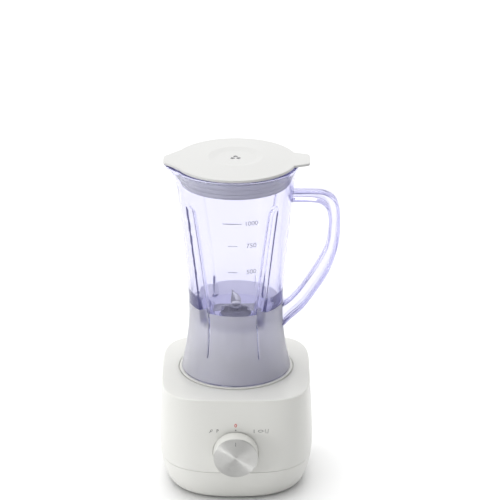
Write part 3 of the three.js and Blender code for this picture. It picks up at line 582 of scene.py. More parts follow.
ink_grey = printing_ink("ink_grey", (0.16, 0.16, 0.16))
ink_red = printing_ink("ink_red", (0.62, 0.05, 0.05))
marks_z = KNOB_Z + KNOB_R
leaf = [(-27, 0.2), (-26.9, 1.6), (-26, 2.6), (-24.6, 3.2), (-24.7, 1.8), (-25.4, 0.6)]
cup = [(31.4, 3.4), (31.9, -1.2), (34, -1.2), (34.5, 3.4)]
dial_marks = [
    (lettering("mark_zero", "0", 5.6, 0, marks_z + 7), ink_red),
    (plate_piece("mark_dot", oval(0, marks_z + 1.8, 1.3, 1.3)), ink_grey),
    (lettering("mark_pulse", "P", 5, -19.2, marks_z + 0.8), ink_grey),
    (drawn_line("mark_leaf", [(x, marks_z - 0.6 + z) for x, z in leaf], closed=True), ink_grey),
    (drawn_line("mark_stalk", [(-28, marks_z - 1.6), (-26.2, marks_z + 0.8)]), ink_grey),
    (drawn_line("mark_one", [(19.4, marks_z - 1.4), (19.4, marks_z + 2.6)], 0.7), ink_grey),
    (drawn_line("mark_oval", oval(26.2, marks_z + 0.6, 4.8, 2.5), closed=True), ink_grey),
    (drawn_line("mark_tail", [(28.9, marks_z + 0.6), (30.3, marks_z + 0.6)]), ink_grey),
    (drawn_line("mark_cup", [(x, marks_z - 0.6 + z) for x, z in cup]), ink_grey),
]
for mark, ink in dial_marks:
    on_front_wall(mark)
    mark.data.materials.append(ink)
    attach(mark, "base")


# ---- Jug seat ----
# A white disc let into the top of the case, doming up to the drive coupler. Three bayonet lugs with
# hooked tops hold the jug, and curved guard walls and a post stand round the interlock pin.

seat_section = rounded(
    [(13.5, -5.5, 0.3), (16.5, -5.5, 0.3), (16.5, 0.2, 0.3), (46, -2.6, 0), (SEAT_R, -2.8, 0.2)]
    + [(SEAT_R, 0, 0.7), (48, 0, 3), (18, 3, 0.6), (13.5, 3, 0.3)],
    base=SEAT_Z,
)
seat = turned("seat_disc", seat_section, 256)


def arc_wall(name, section, start, end, steps=20):
    """A section of (radius, height) points carried round the drive axis, from start to end degrees."""
    angles = [math.radians(start + (end - start) * i / steps) for i in range(steps + 1)]
    points = [upright(radius, height, angle) for angle in angles for radius, height in section]
    return new_piece(name, points, loft_faces(steps + 1, len(section)))


WALL_R = 46.5
LUG_STARTS = (303, 63, 183)
lug_section = rounded(
    [(WALL_R, -0.5, 0), (49.5, -0.5, 0), (49.5, 11, 0.4), (52, 11, 0.5)]
    + [(52, 14, 0.8), (WALL_R, 14, 0.6)],
    base=SEAT_Z,
)
seat_walls = [arc_wall("lug", lug_section, start, start + 33) for start in LUG_STARTS]


def guard_section(top, outer=49.5):
    corners = [(WALL_R, -0.5, 0), (outer, -0.5, 0), (outer, top, 0.5), (WALL_R, top, 0.5)]
    return rounded(corners, base=SEAT_Z)


seat_walls += [
    arc_wall("guard", guard_section(14), 160, 183.5),
    arc_wall("guard", guard_section(12), 108, 148),
    arc_wall("post", guard_section(20, outer=50), 107, 115, 6),
]
combine(seat, "UNION", seat_walls)

pin_low, pin_high = box_mm("interlock_pin")
PIN_ANGLE = math.radians(154)
PIN_R = 48


def oblong(half_x, half_y, edge):
    corners = ((1, 1), (-1, 1), (-1, -1), (1, -1))
    return rounded([(x * half_x, y * half_y, edge) for x, y in corners], 4)


def square_bar(name, side, low, high, edge=0.4):
    """A square bar with rounded edges, turned to face the drive axis at the interlock."""
    bar = prism(name, oblong(side / 2, side / 2, edge), low, high)
    bar.matrix_world = (
        Matrix.Translation((PIN_R / 1000 * math.cos(PIN_ANGLE), PIN_R / 1000 * math.sin(PIN_ANGLE), 0))
        @ Matrix.Rotation(PIN_ANGLE, 4, "Z")
    )
    return bar


notch_section = stepped(54, SEAT_Z, [(0, -0.9), (3.5, -0.9), (3.5, 1), (0, 1)])
notches = [arc_wall("notch", notch_section, start, start + 4, 4) for start in (238, 302, 8, 173)]
combine(seat, "DIFFERENCE", [square_bar("pin_hole", 6, SEAT_Z - 12, SEAT_Z + 3), *notches])
fit(seat, case_white, "base", "jug_seat")


# ---- Interlock pin ----
# A square plunger of grey plastic beside the guard wall. The seated jug pushes it down on to the
# microswitch inside, so that the motor only runs with the jug in place.

grey_plastic, shader = new_finish("grey_plastic", (0.5, 0.5, 0.48), 0.5)
shade_between(shader, speckle(shader, 60, 3), (0.47, 0.47, 0.45), (0.53, 0.53, 0.51))
roughen(shader, speckle(shader, 2200, 2), 0.00002)
pin = square_bar("interlock_plunger", 5, pin_low[2], pin_high[2], 0.6)
collar = square_bar("collar", 6, pin_low[2] + 7.4, pin_low[2] + 10.9)
combine(pin, "UNION", [collar])
fit(pin, grey_plastic, "interlock", "interlock_pin")

# The coil spring below the pin is the CAD's own coil, in bright steel.
spring_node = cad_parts["interlock_spring"]
spring = into_scene("pin_spring", spring_node.data.copy())
bpy.context.view_layer.update()
spring.matrix_world = spring_node.matrix_world
smooth(spring)
spring.data.materials.clear()
fit(spring, bright_steel, "base", "interlock_spring")
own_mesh(spring)


# ---- Drive coupler ----
# The base's half of the coupling: a white skirt that throws spills clear of the shaft seal, and on
# it a milky, slightly see-through moulding with six tapered fins.

skirt_low, skirt_high = box_mm("coupler_skirt")
SKIRT_R = skirt_high[0]
skirt_height = skirt_high[2] - skirt_low[2]
skirt_section = rounded(
    [(5, 3.4, 0.3), (15.2, 3.4, 0.5), (15.6, 0, 0.3), (SKIRT_R - 0.4, 0, 0.6), (SKIRT_R, 1.6, 1)]
    + [(SKIRT_R - 0.5, skirt_height, 0.8), (5, skirt_height, 0.3)],
    base=skirt_low[2],
)
coupler_skirt = turned("splash_skirt", skirt_section, 128)
fit(coupler_skirt, case_white, "motor", "coupler_skirt")


def fin_bars(reach, thickness, low, high, first=0):
    """Three crossed bars, for the six fins or teeth of a coupler."""
    bars = []
    for turn in range(3):
        bar = prism("fin", oblong(reach, thickness / 2, 0.6), low, high)
        bar.data.transform(Matrix.Rotation(first + turn * math.pi / 3, 4, "Z"))
        bars.append(bar)
    return bars


fins_z, coupler_top = box_mm("drive_coupler")[0][2], box_mm("drive_coupler")[1][2]
fins_height = coupler_top - fins_z
star = round_bar(7, fins_z - 1, coupler_top + 1, 64)
combine(star, "UNION", fin_bars(20, 3.5, fins_z - 1, coupler_top + 1))
fins_outline = [(0, 0, 0), (16.6, 0, 0.3), (16, 8, 4), (14.2, fins_height, 3), (0, fins_height, 0)]
drive_coupler = turned("finned_coupler", rounded(fins_outline, 8, fins_z), 128)
combine(drive_coupler, "INTERSECT", [star])
plate_outline = [(0, 0, 0), (16.6, 0, 0.3), (16.6, 1.6, 0.5), (0, 1.6, 0)]
combine(drive_coupler, "UNION", [turned("plate", rounded(plate_outline, base=fins_z), 128)])
combine(drive_coupler, "DIFFERENCE", [round_bar(4.3, fins_z - 2, coupler_top - 5.6)])

milky_plastic, shader = new_finish(
    "milky_plastic", (0.95, 0.95, 0.95), 0.2, transmission_weight=0.12, ior=1.45,
    subsurface_weight=0.4, subsurface_scale=0.004, subsurface_radius=(1, 1, 1),
)
# A faint painted glow, a steady light from the plastic itself, stands for the light that scatters inside
# it and keeps the coupler and bell bright in the shade they sit in.
shader.inputs["Emission Color"].default_value = (1, 1, 0.98, 1)
shader.inputs["Emission Strength"].default_value = 0.05
shade_between(shader, speckle(shader, 300, 3), 0.16, 0.26)
roughen(shader, speckle(shader, 150, 1), 0.00003)
fit(drive_coupler, milky_plastic, "motor", "drive_coupler")


# ---- Knob ----
# A white moulded knob, pressed on to the switch's spindle. Its face is a spun aluminium disc with a
# dark pointer line, let into the front of the knob.

def waves(shader, scale, distortion, **settings):
    """Even waves fixed to the piece, for turned grooves, stacked sheets or wound wire."""
    tree = shader.id_data
    wave = tree.nodes.new("ShaderNodeTexWave")
    for setting, value in settings.items():
        setattr(wave, setting, value)
    wave.inputs["Scale"].default_value = scale
    wave.inputs["Distortion"].default_value = distortion
    place = tree.nodes.new("ShaderNodeTexCoord")
    tree.links.new(place.outputs["Object"], wave.inputs["Vector"])
    return wave.outputs["Fac"]


knob_frame = facing_front((0, front_wall(0, KNOB_Z) + 0.5, KNOB_Z), KNOB_TILT)
KNOB_DEPTH = 13.5
FACE_R = KNOB_R - 0.7
knob_section = rounded(
    [(3.3, 3, 0.2), (8, 3, 0.4), (8, 8, 0.8), (KNOB_R - 2.4, 8, 0.8), (KNOB_R - 2.2, 0, 0.4)]
    + [(KNOB_R, 0, 0.4), (KNOB_R - 0.45, KNOB_DEPTH - 1.2, 0.3), (KNOB_R - 1.2, KNOB_DEPTH - 1.4, 0.2)]
    + [(3.3, KNOB_DEPTH - 1.4, 0.2)]
)
knob = turned("knob_moulding", knob_section, 192)
knob.matrix_world = knob_frame
fit(knob, case_white, "knob", "knob_body")

FACE_THICK = 1.1
face_back = KNOB_DEPTH - FACE_THICK


def pointer_bar(name, half_wide, inner, outer, low, high):
    outline = [(-half_wide, inner), (half_wide, inner), (half_wide, outer), (-half_wide, outer)]
    return prism(name, outline, face_back + low, face_back + high)


face_outline = [(0, 0, 0), (FACE_R, 0, 0.1), (FACE_R, FACE_THICK, 0.35), (0, FACE_THICK, 0)]
knob_face = turned("knob_disc", rounded(face_outline, base=face_back), 192)
combine(knob_face, "DIFFERENCE", [pointer_bar("slot", 0.3, 14.8, 19.6, 0.8, 3)])
knob_face.matrix_world = knob_frame
spun_aluminium, shader = new_finish(
    "spun_aluminium", (0.6, 0.6, 0.585), 0.48, metallic=1.0, anisotropic=0.92, anisotropic_rotation=0.25,
)
grooves = waves(shader, 420, 0.4, wave_type="RINGS", rings_direction="Z")
shade_between(shader, grooves, (0.58, 0.58, 0.565), (0.63, 0.63, 0.615))
tangent = spun_aluminium.node_tree.nodes.new("ShaderNodeTangent")
tangent.direction_type = "RADIAL"
tangent.axis = "Z"
spun_aluminium.node_tree.links.new(tangent.outputs["Tangent"], shader.inputs["Tangent"])
shade_between(shader, speckle(shader, 400, 3), 0.45, 0.52)
fit(knob_face, spun_aluminium, "knob", "knob_face")

pointer = pointer_bar("pointer_line", 0.28, 14.85, 19.55, 0.82, 1.08)
pointer.matrix_world = knob_frame
pointer.data.materials.append(ink_grey)
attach(pointer, "knob")


# ---- Jug ----
# One clear moulding with a faint violet tint: a flared skirt frosted on the outside, a tall
# container with four pressed-in flutes, a drawn-out spout, a thick rim and a channelled handle.

JUG_Z = box_mm("jug")[0][2]
JUG_HEIGHT = box_mm("jug")[1][2] - JUG_Z
JUG_WALL = 2.6
WAIST_Z = 66
WAIST_R = 49.7
SKIRT_FLARE = 8.9
BODY_FLARE = 14
BODY_FLARE_Z = 225
RIM_R = 66.6
JUG_FLOOR_Z = 56
JUG_FRONT = math.radians(264.5)
FLUTE_ANGLE = (math.radians(48.5), math.radians(36.5))
FLUTE_DEPTH = (6, 9.5)
REAR_FLUTE_SHARE = 0.3
FLUTE_HALF_WIDTH = 6
FLUTE_TOP_Z = 200
GROOVE_ANGLES = (235.5, 297.5)
SPOUT_REACH = 9
SPOUT_HALF_ANGLE = math.radians(29)
JUG_SEGMENTS = 320


def jug_radius(z):
    if z < WAIST_Z:
        return WAIST_R + SKIRT_FLARE * ((WAIST_Z - z) / WAIST_Z) ** 1.8
    return WAIST_R + BODY_FLARE * ((z - WAIST_Z) / (BODY_FLARE_Z - WAIST_Z)) ** 1.25


def flute_depth(z, angle, radius):
    """How far the wall is pressed in: deep front flutes that close in downwards, shallow rear ones."""
    if radius < 30:
        return 0
    from_front = abs((angle - JUG_FRONT + math.pi) % (2 * math.pi) - math.pi)
    front = from_front < math.pi / 2
    down = min(1, max(0, (FLUTE_TOP_Z - z) / (FLUTE_TOP_Z - JUG_FLOOR_Z)))
    middle = FLUTE_ANGLE[0] + (FLUTE_ANGLE[1] - FLUTE_ANGLE[0]) * down
    off = abs((from_front if front else math.pi - from_front) - middle) * radius
    across = math.cos(min(1, off / FLUTE_HALF_WIDTH) * math.pi / 2) ** 1.6
    ends = ease(JUG_FLOOR_Z + 3, JUG_FLOOR_Z + 12, z) * (1 - ease(FLUTE_TOP_Z - 12, FLUTE_TOP_Z, z))
    depth = FLUTE_DEPTH[0] + (FLUTE_DEPTH[1] - FLUTE_DEPTH[0]) * down
    return depth * ends * across * (1 if front else REAR_FLUTE_SHARE)


def skirt_groove(z, angle):
    """Depth of the two narrow grooves that carry on below the front flutes."""
    off = min(abs(angle % (2 * math.pi) - math.radians(middle)) for middle in GROOVE_ANGLES) * 50
    return 1.1 * max(0, 1 - (off / 1.3) ** 2) * ease(26, 32, z) * (1 - ease(70, 76, z))


def spout_reach(z, angle):
    off = abs(math.pi - angle % (2 * math.pi))
    across = max(0, 1 - off / SPOUT_HALF_ANGLE)
    up = ease(JUG_HEIGHT - 34, JUG_HEIGHT + 4, z)
    return SPOUT_REACH * 1.15 * across**1.1 * up**1.6


def jug_point(radius, z, angle):
    turned_by = angle + 0.15 * math.sin(4 * angle)
    reach = radius - flute_depth(z, turned_by, radius)
    if radius > 50:
        reach += spout_reach(z, turned_by)
    if radius > jug_radius(z) - 1:
        reach -= skirt_groove(z, turned_by)
    return reach * math.cos(turned_by), reach * math.sin(turned_by), z + JUG_Z


def heights(low, high, step):
    count = math.ceil((high - low) / step)
    return [low + (high - low) * i / count for i in range(count + 1)]


outer_heights = heights(1, 58, 4) + heights(60, 82, 1)[1:] + heights(82, 186, 5)[1:]
outer_heights += heights(186, 203, 1.7)[1:] + heights(203, 225, 2.5)[1:]
outer_wall = [(jug_radius(z), z) for z in outer_heights]
inner_heights = heights(92, 100, 2) + heights(100, 186, 5)[1:]
inner_heights += heights(186, 203, 1.7)[1:-1] + heights(203, 221, 2.5)[1:]
inner_wall = [(jug_radius(z) - JUG_WALL, z) for z in inner_heights]
rim = rounded(
    [outer_wall[-1] + (0,), (RIM_R - 0.2, 229.6, 1.6), (RIM_R, JUG_HEIGHT, 1.3)]
    + [(RIM_R - 4.2, JUG_HEIGHT, 1.3), (jug_radius(224) - JUG_WALL, 224, 2), inner_wall[-1] + (0,)]
)
skirt_inside = [(jug_radius(z) - JUG_WALL, z) for z in reversed(heights(1, 61, 4))]
bowl = [(46.9, 88), (46.2, 84), (45.2, 79), (43.9, 74), (42.2, 69), (40, 64.4), (37.4, 60.4)]
bowl += [(34.6, 57.8), (31, 56.4)]
underside = [(36, 52.6), (39.4, 53.6), (42.2, 56), (44.4, 59.4), (45.8, 62.6), (46.5, 63.4)]
floor_boss = rounded(
    [(28, 0, 0), (8.4, 0, 0.3), (8.4, -5, 0.3), (18, -5, 0.3), (19, -3.6, 0.5), (31, -3.6, 0)],
    base=JUG_FLOOR_Z,
)
jug_section = (
    outer_wall + rim[1:-1] + list(reversed(inner_wall)) + bowl + floor_boss + underside + skirt_inside
    + [(jug_radius(0) - JUG_WALL + 0.5, 0), (jug_radius(0) - 0.7, 0)]
)
jug = turned("jug_moulding", jug_section, JUG_SEGMENTS, jug_point)

HANDLE_HALF_WIDTH = 10.5
HANDLE_FLANGE = 3
HANDLE_WEB = 2.6
HANDLE_OUTER = [(58, 203.5), (70, 203.5), (84, 203.4), (93, 202.4), (101, 198.6), (106.8, 192)]
HANDLE_OUTER += [(109.8, 181), (110.3, 165), (109.4, 148), (105.8, 131), (98.4, 111), (86, 90)]
HANDLE_OUTER += [(72, 70.4), (58.4, 57.3), (48, 46)]
HANDLE_INNER = [(58, 191.5), (70, 191.5), (82, 191.3), (89, 189.8), (93.8, 186), (96.8, 180)]
HANDLE_INNER += [(98, 172), (98, 163), (95.6, 143), (88.2, 126), (79, 110), (66.5, 91)]
HANDLE_INNER += [(57, 80), (51, 75.6), (47, 73)]


def flowing(points, stations):
    """A smooth curve through the points, at evenly spaced stations along it."""
    dense = []
    ends = [points[0], *points, points[-1]]
    for p0, p1, p2, p3 in zip(ends, ends[1:], ends[2:], ends[3:]):
        for step in range(12):
            t = step / 12
            dense.append([
                0.5 * (2 * b + (c - a) * t + (2 * a - 5 * b + 4 * c - d) * t**2)
                + 0.5 * (3 * b - a - 3 * c + d) * t**3
                for a, b, c, d in zip(p0, p1, p2, p3)
            ])
    dense.append(points[-1])
    run = [0]
    for a, b in zip(dense, dense[1:]):
        run.append(run[-1] + math.dist(a, b))
    made = []
    for i in range(stations):
        target = run[-1] * i / (stations - 1)
        k = max(1, next((k for k, r in enumerate(run) if r >= target), len(run) - 1))
        t = (target - run[k - 1]) / max(1e-9, run[k] - run[k - 1])
        made.append(Vector(dense[k - 1]).lerp(Vector(dense[k]), t))
    return made


def both_sides(corners):
    """Corners on one side of the middle line, and then their mirror images."""
    return corners + [(along, -across, radius) for along, across, radius in reversed(corners)]


def handle_bar(stations=90):
    """The handle: an I-section that follows its outer and inner lines."""
    points = []
    flange = [(0, HANDLE_HALF_WIDTH, 1.2), (HANDLE_FLANGE, HANDLE_HALF_WIDTH, 0.8)]
    flange += [(HANDLE_FLANGE, HANDLE_WEB, 1)]
    for outer, inner in zip(flowing(HANDLE_OUTER, stations), flowing(HANDLE_INNER, stations)):
        depth = (outer - inner).length
        inward = (inner - outer).normalized()
        far_flange = [(depth - down, across, radius) for down, across, radius in reversed(flange)]
        section = rounded(both_sides(flange + far_flange), 3)
        for down, across in section:
            spot = outer + inward * down
            points.append((spot.x, across, spot.y + JUG_Z))
    return new_piece("handle", points, loft_faces(stations, len(section)))


def soften_edges(piece, width):
    edge = piece.modifiers.new("edge", "BEVEL")
    edge.width = width / 1000
    edge.segments = 3
    edge.limit_method = "ANGLE"
    settle(piece)
    return piece


def mixing_rib(angle):
    """A short upright rib inside the container, from the floor up, with a rounded top."""
    outline = [(41.5, 64), (49.4, 64), (49.6, 87), (46, 87), (44.4, 85.6), (41.5, 68)]
    rib = soften_edges(plate_piece("rib", stepped(0, JUG_Z, outline), 1.5), 1)
    rib.data.transform(Matrix.Rotation(math.radians(angle), 4, "Z"))
    return rib


tongue_outline = [(50.4, 6.2, 0.5), (55.3, 6.2, 0), (55.3, 10.2, 0), (50.4, 10.2, 0.5)]
tongue_section = rounded(tongue_outline, 4, JUG_Z)
skirt_rib_section = stepped(0, JUG_Z, [(46, 27), (50.6, 26), (48.6, 53.5), (45, 53.5)])
additions = [handle_bar(), mixing_rib(64), mixing_rib(119)]
additions += [arc_wall("tongue", tongue_section, start + 35, start + 51, 12) for start in LUG_STARTS]
additions += [arc_wall("skirt_rib", skirt_rib_section, a - 1, a + 1, 4) for a in (235, 297, 52, 128)]
combine(jug, "UNION", additions)

violet_clear, shader = new_finish(
    "violet_clear", (0.91, 0.91, 0.945), 0.03, transmission_weight=0.98, ior=1.42,
)
# A faint painted violet glow stands for the light that runs along inside the wall.
shader.inputs["Emission Color"].default_value = (0.42, 0.4, 0.95, 1)
shader.inputs["Emission Strength"].default_value = 0.034
roughen(shader, speckle(shader, 35, 1), 0.00008)
body = violet_clear.node_tree
tint = body.nodes.new("ShaderNodeVolumeAbsorption")
tint.inputs["Color"].default_value = (0.12, 0.1, 0.7, 1)
tint.inputs["Density"].default_value = 24
body.links.new(tint.outputs["Volume"], body.nodes["Material Output"].inputs["Volume"])
fit(jug, violet_clear, "jug", "jug")


# ---- Frosting ----
# The outside of the jug's skirt is etched matt up to a sharp line round the container's floor. It is
# a thin milky skin here, broken by the two narrow clear lines below the front flutes.

FROST_TOP_Z = 78
frost_heights = heights(1.5, FROST_TOP_Z, 2)
frost_section = [(jug_radius(z) + 0.3, z) for z in frost_heights]
frost_section += [(jug_radius(z) + 0.1, z) for z in reversed(frost_heights)]
frosting = turned("skirt_frosting", frost_section, JUG_SEGMENTS, jug_point)
slit_outline = [(40, -0.7), (60, -0.7), (60, 0.7), (40, 0.7)]
clear_lines = []
for angle in GROOVE_ANGLES:
    slit = prism("slit", slit_outline, JUG_Z + 27, JUG_Z + FROST_TOP_Z + 3)
    slit.data.transform(Matrix.Rotation(math.radians(angle), 4, "Z"))
    clear_lines.append(slit)
combine(frosting, "DIFFERENCE", clear_lines)
frosted_plastic, shader = new_finish(
    "frosted_plastic", (0.91, 0.91, 0.94), 0.5, transmission_weight=0.76, ior=1.3,
)
shade_between(shader, speckle(shader, 1600, 3), (0.89, 0.89, 0.92), (0.93, 0.93, 0.95))
roughen(shader, speckle(shader, 3000, 2), 0.00002)
frosting.data.materials.append(frosted_plastic)
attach(frosting, "jug")


# ---- Volume scale ----
# The jug's volume lines and numbers stand out from the front of its wall by a hair, with a matte
# finish that makes them show as pale grey against the clear plastic.

scale_white, shader = new_finish("scale_white", (0.62, 0.62, 0.68), 0.6, transmission_weight=0.35)
roughen(shader, speckle(shader, 4000, 2), 0.00003)


def on_jug_front(piece):
    """Lays a flat piece, drawn in x and z, on the front of the jug."""
    for vertex in piece.data.vertices:
        x, y, z = (1000 * v for v in vertex.co)
        radius = jug_radius(z - JUG_Z) + (0.18 if y < -0.5 else -0.05)
        vertex.co.y = -math.sqrt(radius**2 - x**2) / 1000
    return piece


def scale_line(name, left, right, z):
    steps = 8
    lower = [(left + (right - left) * i / steps, z - 0.3) for i in range(steps + 1)]
    upper = [(x, z + 0.3) for x, _ in reversed(lower)]
    return plate_piece(name, lower + upper)


VOLUME_LINES = ((1000, 186.4, -13.5), (750, 160.6, -8), (500, 130, -8))
for volume, height, left in VOLUME_LINES:
    line = scale_line(f"line_{volume}", left, left + (20 if volume == 1000 else 10), JUG_Z + height)
    number = lettering(f"number_{volume}", str(volume), 7.2, 16.5, JUG_Z + height)
    for mark in (line, number):
        on_jug_front(mark)
        mark.data.materials.append(scale_white)
        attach(mark, "jug")


# ---- Blade unit ----
# A grey bushing clamps a rubber gasket to the jug's floor with a hexagonal nut below. The shaft
# carries two bent steel blades with ground edges, a cap nut on top and the milky bell underneath.

unit_z = JUG_Z + JUG_FLOOR_Z
bushing_section = rounded(
    [(4.35, -12, 0.2), (8, -12, 0.4), (8, 2.2, 0.2), (17, 2.2, 0.3), (17, 3.6, 0.6), (9.2, 5, 1.6)]
    + [(8.4, 6, 0.4), (4.35, 6, 0.3)],
    base=unit_z,
)
bushing = turned("blade_bearing", bushing_section, 96)
fit(bushing, grey_plastic, "blade_unit", "blade_bushing")

nut_low, nut_high = box_mm("bushing_nut")
hexagon = [(13 * math.sin(math.pi / 3 * i), 13 * math.cos(math.pi / 3 * i), 1.2) for i in range(6)]
nut = prism("bearing_nut", rounded(hexagon, 4), nut_low[2], nut_high[2])
combine(nut, "DIFFERENCE", [round_bar(8.4, 150, 180, 64)])
fit(nut, grey_plastic, "blade_unit", "bushing_nut")


def bent_blade(name, node, reach, bend, turn):
    """A two-armed blade, bent up or down beside its flat middle, with one edge of each arm ground."""
    low, high = box_mm(node)
    flat, thick = 9, 1.2
    foot_z = low[2] if bend > 0 else high[2] - thick
    columns = [0, 4, 7.5, flat - 1, flat, flat + 1, 13, 18, 23, reach - 4, reach]
    points = []
    for arm in (1, -1):
        for column in columns:
            beyond = max(0, column - flat)
            x = min(column, flat) + beyond * math.cos(bend)
            z = foot_z + beyond * math.sin(bend)
            tip = max(0, (column - (reach - 10)) / 10)
            front, back = -5.5 + 8.2 * tip**1.3, 5.5 - 1.5 * tip
            ground = 2.2 if column > flat + 1 else 0.6
            rows = [(front, 0), (front, 0.25), (front + ground, thick)]
            rows += [(back - 0.3, thick), (back, thick * 0.7), (back, 0)]
            points += [(arm * x, arm * y, z + up) for y, up in rows]
    per_arm = len(columns) * len(rows)
    faces = loft_faces(len(columns), len(rows)) + loft_faces(len(columns), len(rows), per_arm)
    arms = new_piece(name, points, faces)
    hub_outline = [(0, 0, 0), (8, 0, 0.2), (8, thick, 0.2), (0, thick, 0)]
    hub = turned("hub", rounded(hub_outline, base=foot_z), 64)
    combine(hub, "UNION", [arms])
    hub.name = name
    combine(hub, "DIFFERENCE", [round_bar(2.9, foot_z - 3, foot_z + 5, 32)])
    hub.data.transform(Matrix.Rotation(turn, 4, "Z"))
    return hub


upper_blade = bent_blade("upper_cross_blade", "upper_blade", 29, 0.5, math.pi / 2)
lower_blade = bent_blade("lower_cross_blade", "lower_blade", 31, -0.22, 0)
blade_steel, shader = new_finish("blade_steel", (0.4, 0.4, 0.41), 0.28, metallic=1.0, anisotropic=0.4)
shade_between(shader, speckle(shader, 500, 3, (1, 8, 1)), 0.24, 0.34)
for blade, node in ((upper_blade, "upper_blade"), (lower_blade, "lower_blade")):
    fit(blade, blade_steel, "blades", node)

cap_low, cap_high = box_mm("blade_cap")
cap_outline = [(0, cap_low[2], 0), (5.5, cap_low[2], 0.3), (5.5, cap_high[2], 2.4), (0, cap_high[2], 0)]
cap = turned("cap_nut", rounded(cap_outline), 64)
fit(cap, bright_steel, "blades", "blade_cap")

bell_z = box_mm("jug_coupler")[0][2]
bell_section = rounded(
    [(17.4, 0, 0.4), (20, 0, 0.4), (17.6, 20, 3), (9, 23, 2), (8, 29, 0.4), (0, 29, 0)]
    + [(0, 16, 0), (15.4, 16, 1)],
    base=bell_z,
)
bell = turned("jug_bell", bell_section, 128)
teeth = turned("teeth", stepped(10, bell_z, [(0, 2.2), (7.6, 2.2), (5.6, 17), (0, 17)]), 96)
spokes = fin_bars(18.5, 2.6, bell_z, bell_z + 18, math.pi / 6)
star = spokes[0]
combine(star, "UNION", spokes[1:])
combine(teeth, "INTERSECT", [star])
combine(bell, "UNION", [teeth])
combine(bell, "DIFFERENCE", [round_bar(4.1, 100, bell_z + 40)])
fit(bell, milky_plastic, "blades", "jug_coupler")


# ---- Lid ----
# A white moulded lid with a flat brim and a lifting tab at each end: squared towards the handle,
# drawn out to a rounded point over the spout. Its middle is a shallow dish with three small vents.

BRIM_R = 64.8
BRIM_THICK = 3.2
LID_CROWN = 3
LID_DISH = 1.6
LID_Z = box_mm("lid")[1][2] - LID_CROWN - BRIM_THICK
PLUG_WALL = 2.4
PLUG_DEPTH = 21
TAB_THICK = 2.8


def plug_radius(z):
    return 59.2 + 0.1 * (z - LID_Z)


crown = BRIM_THICK + LID_CROWN
dish = crown - LID_DISH
plug_top_r, plug_foot_r = plug_radius(LID_Z), plug_radius(LID_Z - PLUG_DEPTH)
lid_section = rounded(
    [(0, dish, 0), (21, dish, 4), (29, crown, 5), (59, BRIM_THICK + 0.1, 6), (BRIM_R, BRIM_THICK, 0.9)]
    + [(BRIM_R, 0, 0.6), (plug_top_r, 0, 0.3), (plug_foot_r, -PLUG_DEPTH, 0.8)]
    + [(plug_foot_r - PLUG_WALL, -PLUG_DEPTH, 0.8), (plug_top_r - PLUG_WALL, 0.4, 1)]
    + [(28, crown - PLUG_WALL, 3), (21, dish - PLUG_WALL, 3), (0, dish - PLUG_WALL, 0)],
    base=LID_Z,
)
lid = turned("lid_moulding", lid_section, 256)


def tab(name, one_side):
    outline = rounded(both_sides(one_side), 8)
    return soften_edges(prism(name, outline, LID_Z + BRIM_THICK - TAB_THICK, LID_Z + BRIM_THICK), 0.7)


handle_tab = tab("handle_tab", [(50, -22, 0), (61.5, -20.5, 0), (78, -14.2, 5.5)])
spout_tab = tab("spout_tab", [(-50, 30, 0), (-57, 30, 0), (-75.8, 8.5, 9)])
combine(lid, "UNION", [handle_tab, spout_tab])


def lid_vent(angle):
    hole = round_bar(2.4, LID_Z - 9, LID_Z + 9, 32)
    hole.location = Vector(upright(3.6, 0, math.radians(angle))) / 1000
    return hole


combine(lid, "DIFFERENCE", [lid_vent(angle) for angle in (90, 210, 330)])
# The lid's white is darker than the case's: painted shade that evens out the stronger light the lid gets
# from the overhead softbox close above it.
lid_shaded_white = moulded_white("lid_shaded_white", (0.55, 0.55, 0.54), 0.4)
fit(lid, lid_shaded_white, "lid", "lid")


# ---- Lid gasket ----
# A soft sleeve of pale, slightly milky silicone, stretched over the lid's plug. The three ridges
# round it seal the lid against the inside of the jug.

def sleeve_corner(down, proud, radius):
    """A corner of the sleeve's section, so far below the brim and proud of the plug."""
    return plug_radius(LID_Z - down) + proud, -down, radius


gasket_corners = [sleeve_corner(18.4, 0.35, 0.2), sleeve_corner(18.4, 1.1, 0.4)]
for ridge in (15.5, 10, 4.5):
    tip = plug_radius(LID_Z - ridge) + 1.8
    gasket_corners += [sleeve_corner(ridge + 0.9, 1.05, 0.3), (tip, -ridge - 0.25, 0.3)]
    gasket_corners += [(tip, 0.25 - ridge, 0.3), sleeve_corner(ridge - 0.9, 1.05, 0.3)]
gasket_corners += [sleeve_corner(0.8, 1.1, 0.4), sleeve_corner(0.8, 0.35, 0.2)]
gasket = turned("lid_sleeve", rounded(gasket_corners, 4, LID_Z), 256)
pale_silicone, shader = new_finish(
    "pale_silicone", (0.7, 0.71, 0.67), 0.55, subsurface_weight=0.2, subsurface_scale=0.003,
    subsurface_radius=(1, 1, 1),
)
shade_between(shader, speckle(shader, 90, 3), (0.67, 0.68, 0.64), (0.72, 0.73, 0.69))
roughen(shader, speckle(shader, 1800, 2), 0.00002)
fit(gasket, pale_silicone, "lid", "lid_gasket")


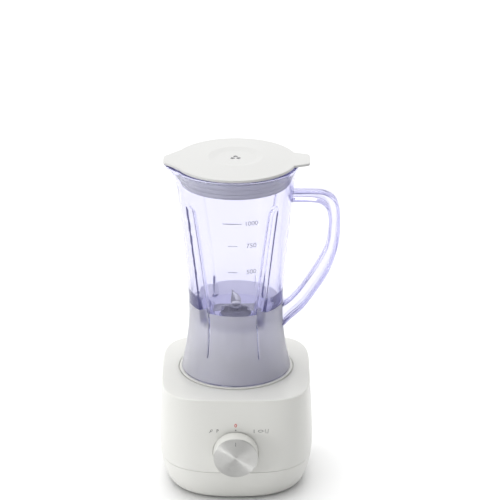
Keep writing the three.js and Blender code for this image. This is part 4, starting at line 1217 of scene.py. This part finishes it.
# ---- Parts inside the base ----
# The motor, its dampers, the switches and the shaft seal keep their CAD shapes and take on their
# materials: stacked laminations, lacquered copper wire, pressed steel, carbon and moulded plastic.

def finish_nodes(finish, *names):
    for name in names:
        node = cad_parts[name]
        if not node.data.materials:
            node.data.materials.append(finish)
        for slot in node.material_slots:
            slot.material = finish


lamination_steel, shader = new_finish("lamination_steel", (0.34, 0.34, 0.36), 0.42, metallic=1.0)
roughen(shader, waves(shader, 320, 0, bands_direction="Z"), 0.00012)
shade_between(shader, speckle(shader, 260, 3), 0.34, 0.5)

copper_wire, shader = new_finish("copper_wire", (0.72, 0.3, 0.12), 0.32, metallic=0.9, coat_weight=0.6)
strands = waves(shader, 260, 1.5, bands_direction="DIAGONAL")
roughen(shader, strands, 0.0002)
shade_between(shader, strands, (0.55, 0.2, 0.08), (0.8, 0.36, 0.15))

carbon_black, shader = new_finish("carbon_black", (0.04, 0.04, 0.042), 0.5)
shade_between(shader, speckle(shader, 1200, 4), (0.03, 0.03, 0.032), (0.07, 0.07, 0.072))
roughen(shader, speckle(shader, 2400, 3), 0.00003)

dark_plastic, shader = new_finish("dark_plastic", (0.05, 0.05, 0.055), 0.45)
shade_between(shader, speckle(shader, 80, 3), (0.045, 0.045, 0.05), (0.06, 0.06, 0.065))
roughen(shader, speckle(shader, 2000, 3), 0.00003)

finish_nodes(lamination_steel, "stator_core", "armature_core")
finish_nodes(copper_wire, "field_coil_left", "field_coil_right", "upper_winding", "lower_winding")
finish_nodes(copper_wire, "commutator")
finish_nodes(carbon_black, "carbon_brush_left", "carbon_brush_right")
finish_nodes(dark_plastic, "interlock_switch", "cooling_fan", "suppressor_capacitor")
finish_nodes(grey_plastic, "rotary_switch", "brush_holder_left", "brush_holder_right", "knob_spindle")
finish_nodes(rubber_grey, "shaft_seal", "floor_gasket")
finish_nodes(rubber_grey, *(f"motor_damper_{corner}" for corner in CORNERS))
finish_nodes(
    bright_steel,
    *("motor_shaft", "upper_bracket", "lower_bracket", "upper_bearing", "lower_bearing"),
    *("motor_bolt_left", "motor_bolt_right", "blade_shaft"),
)
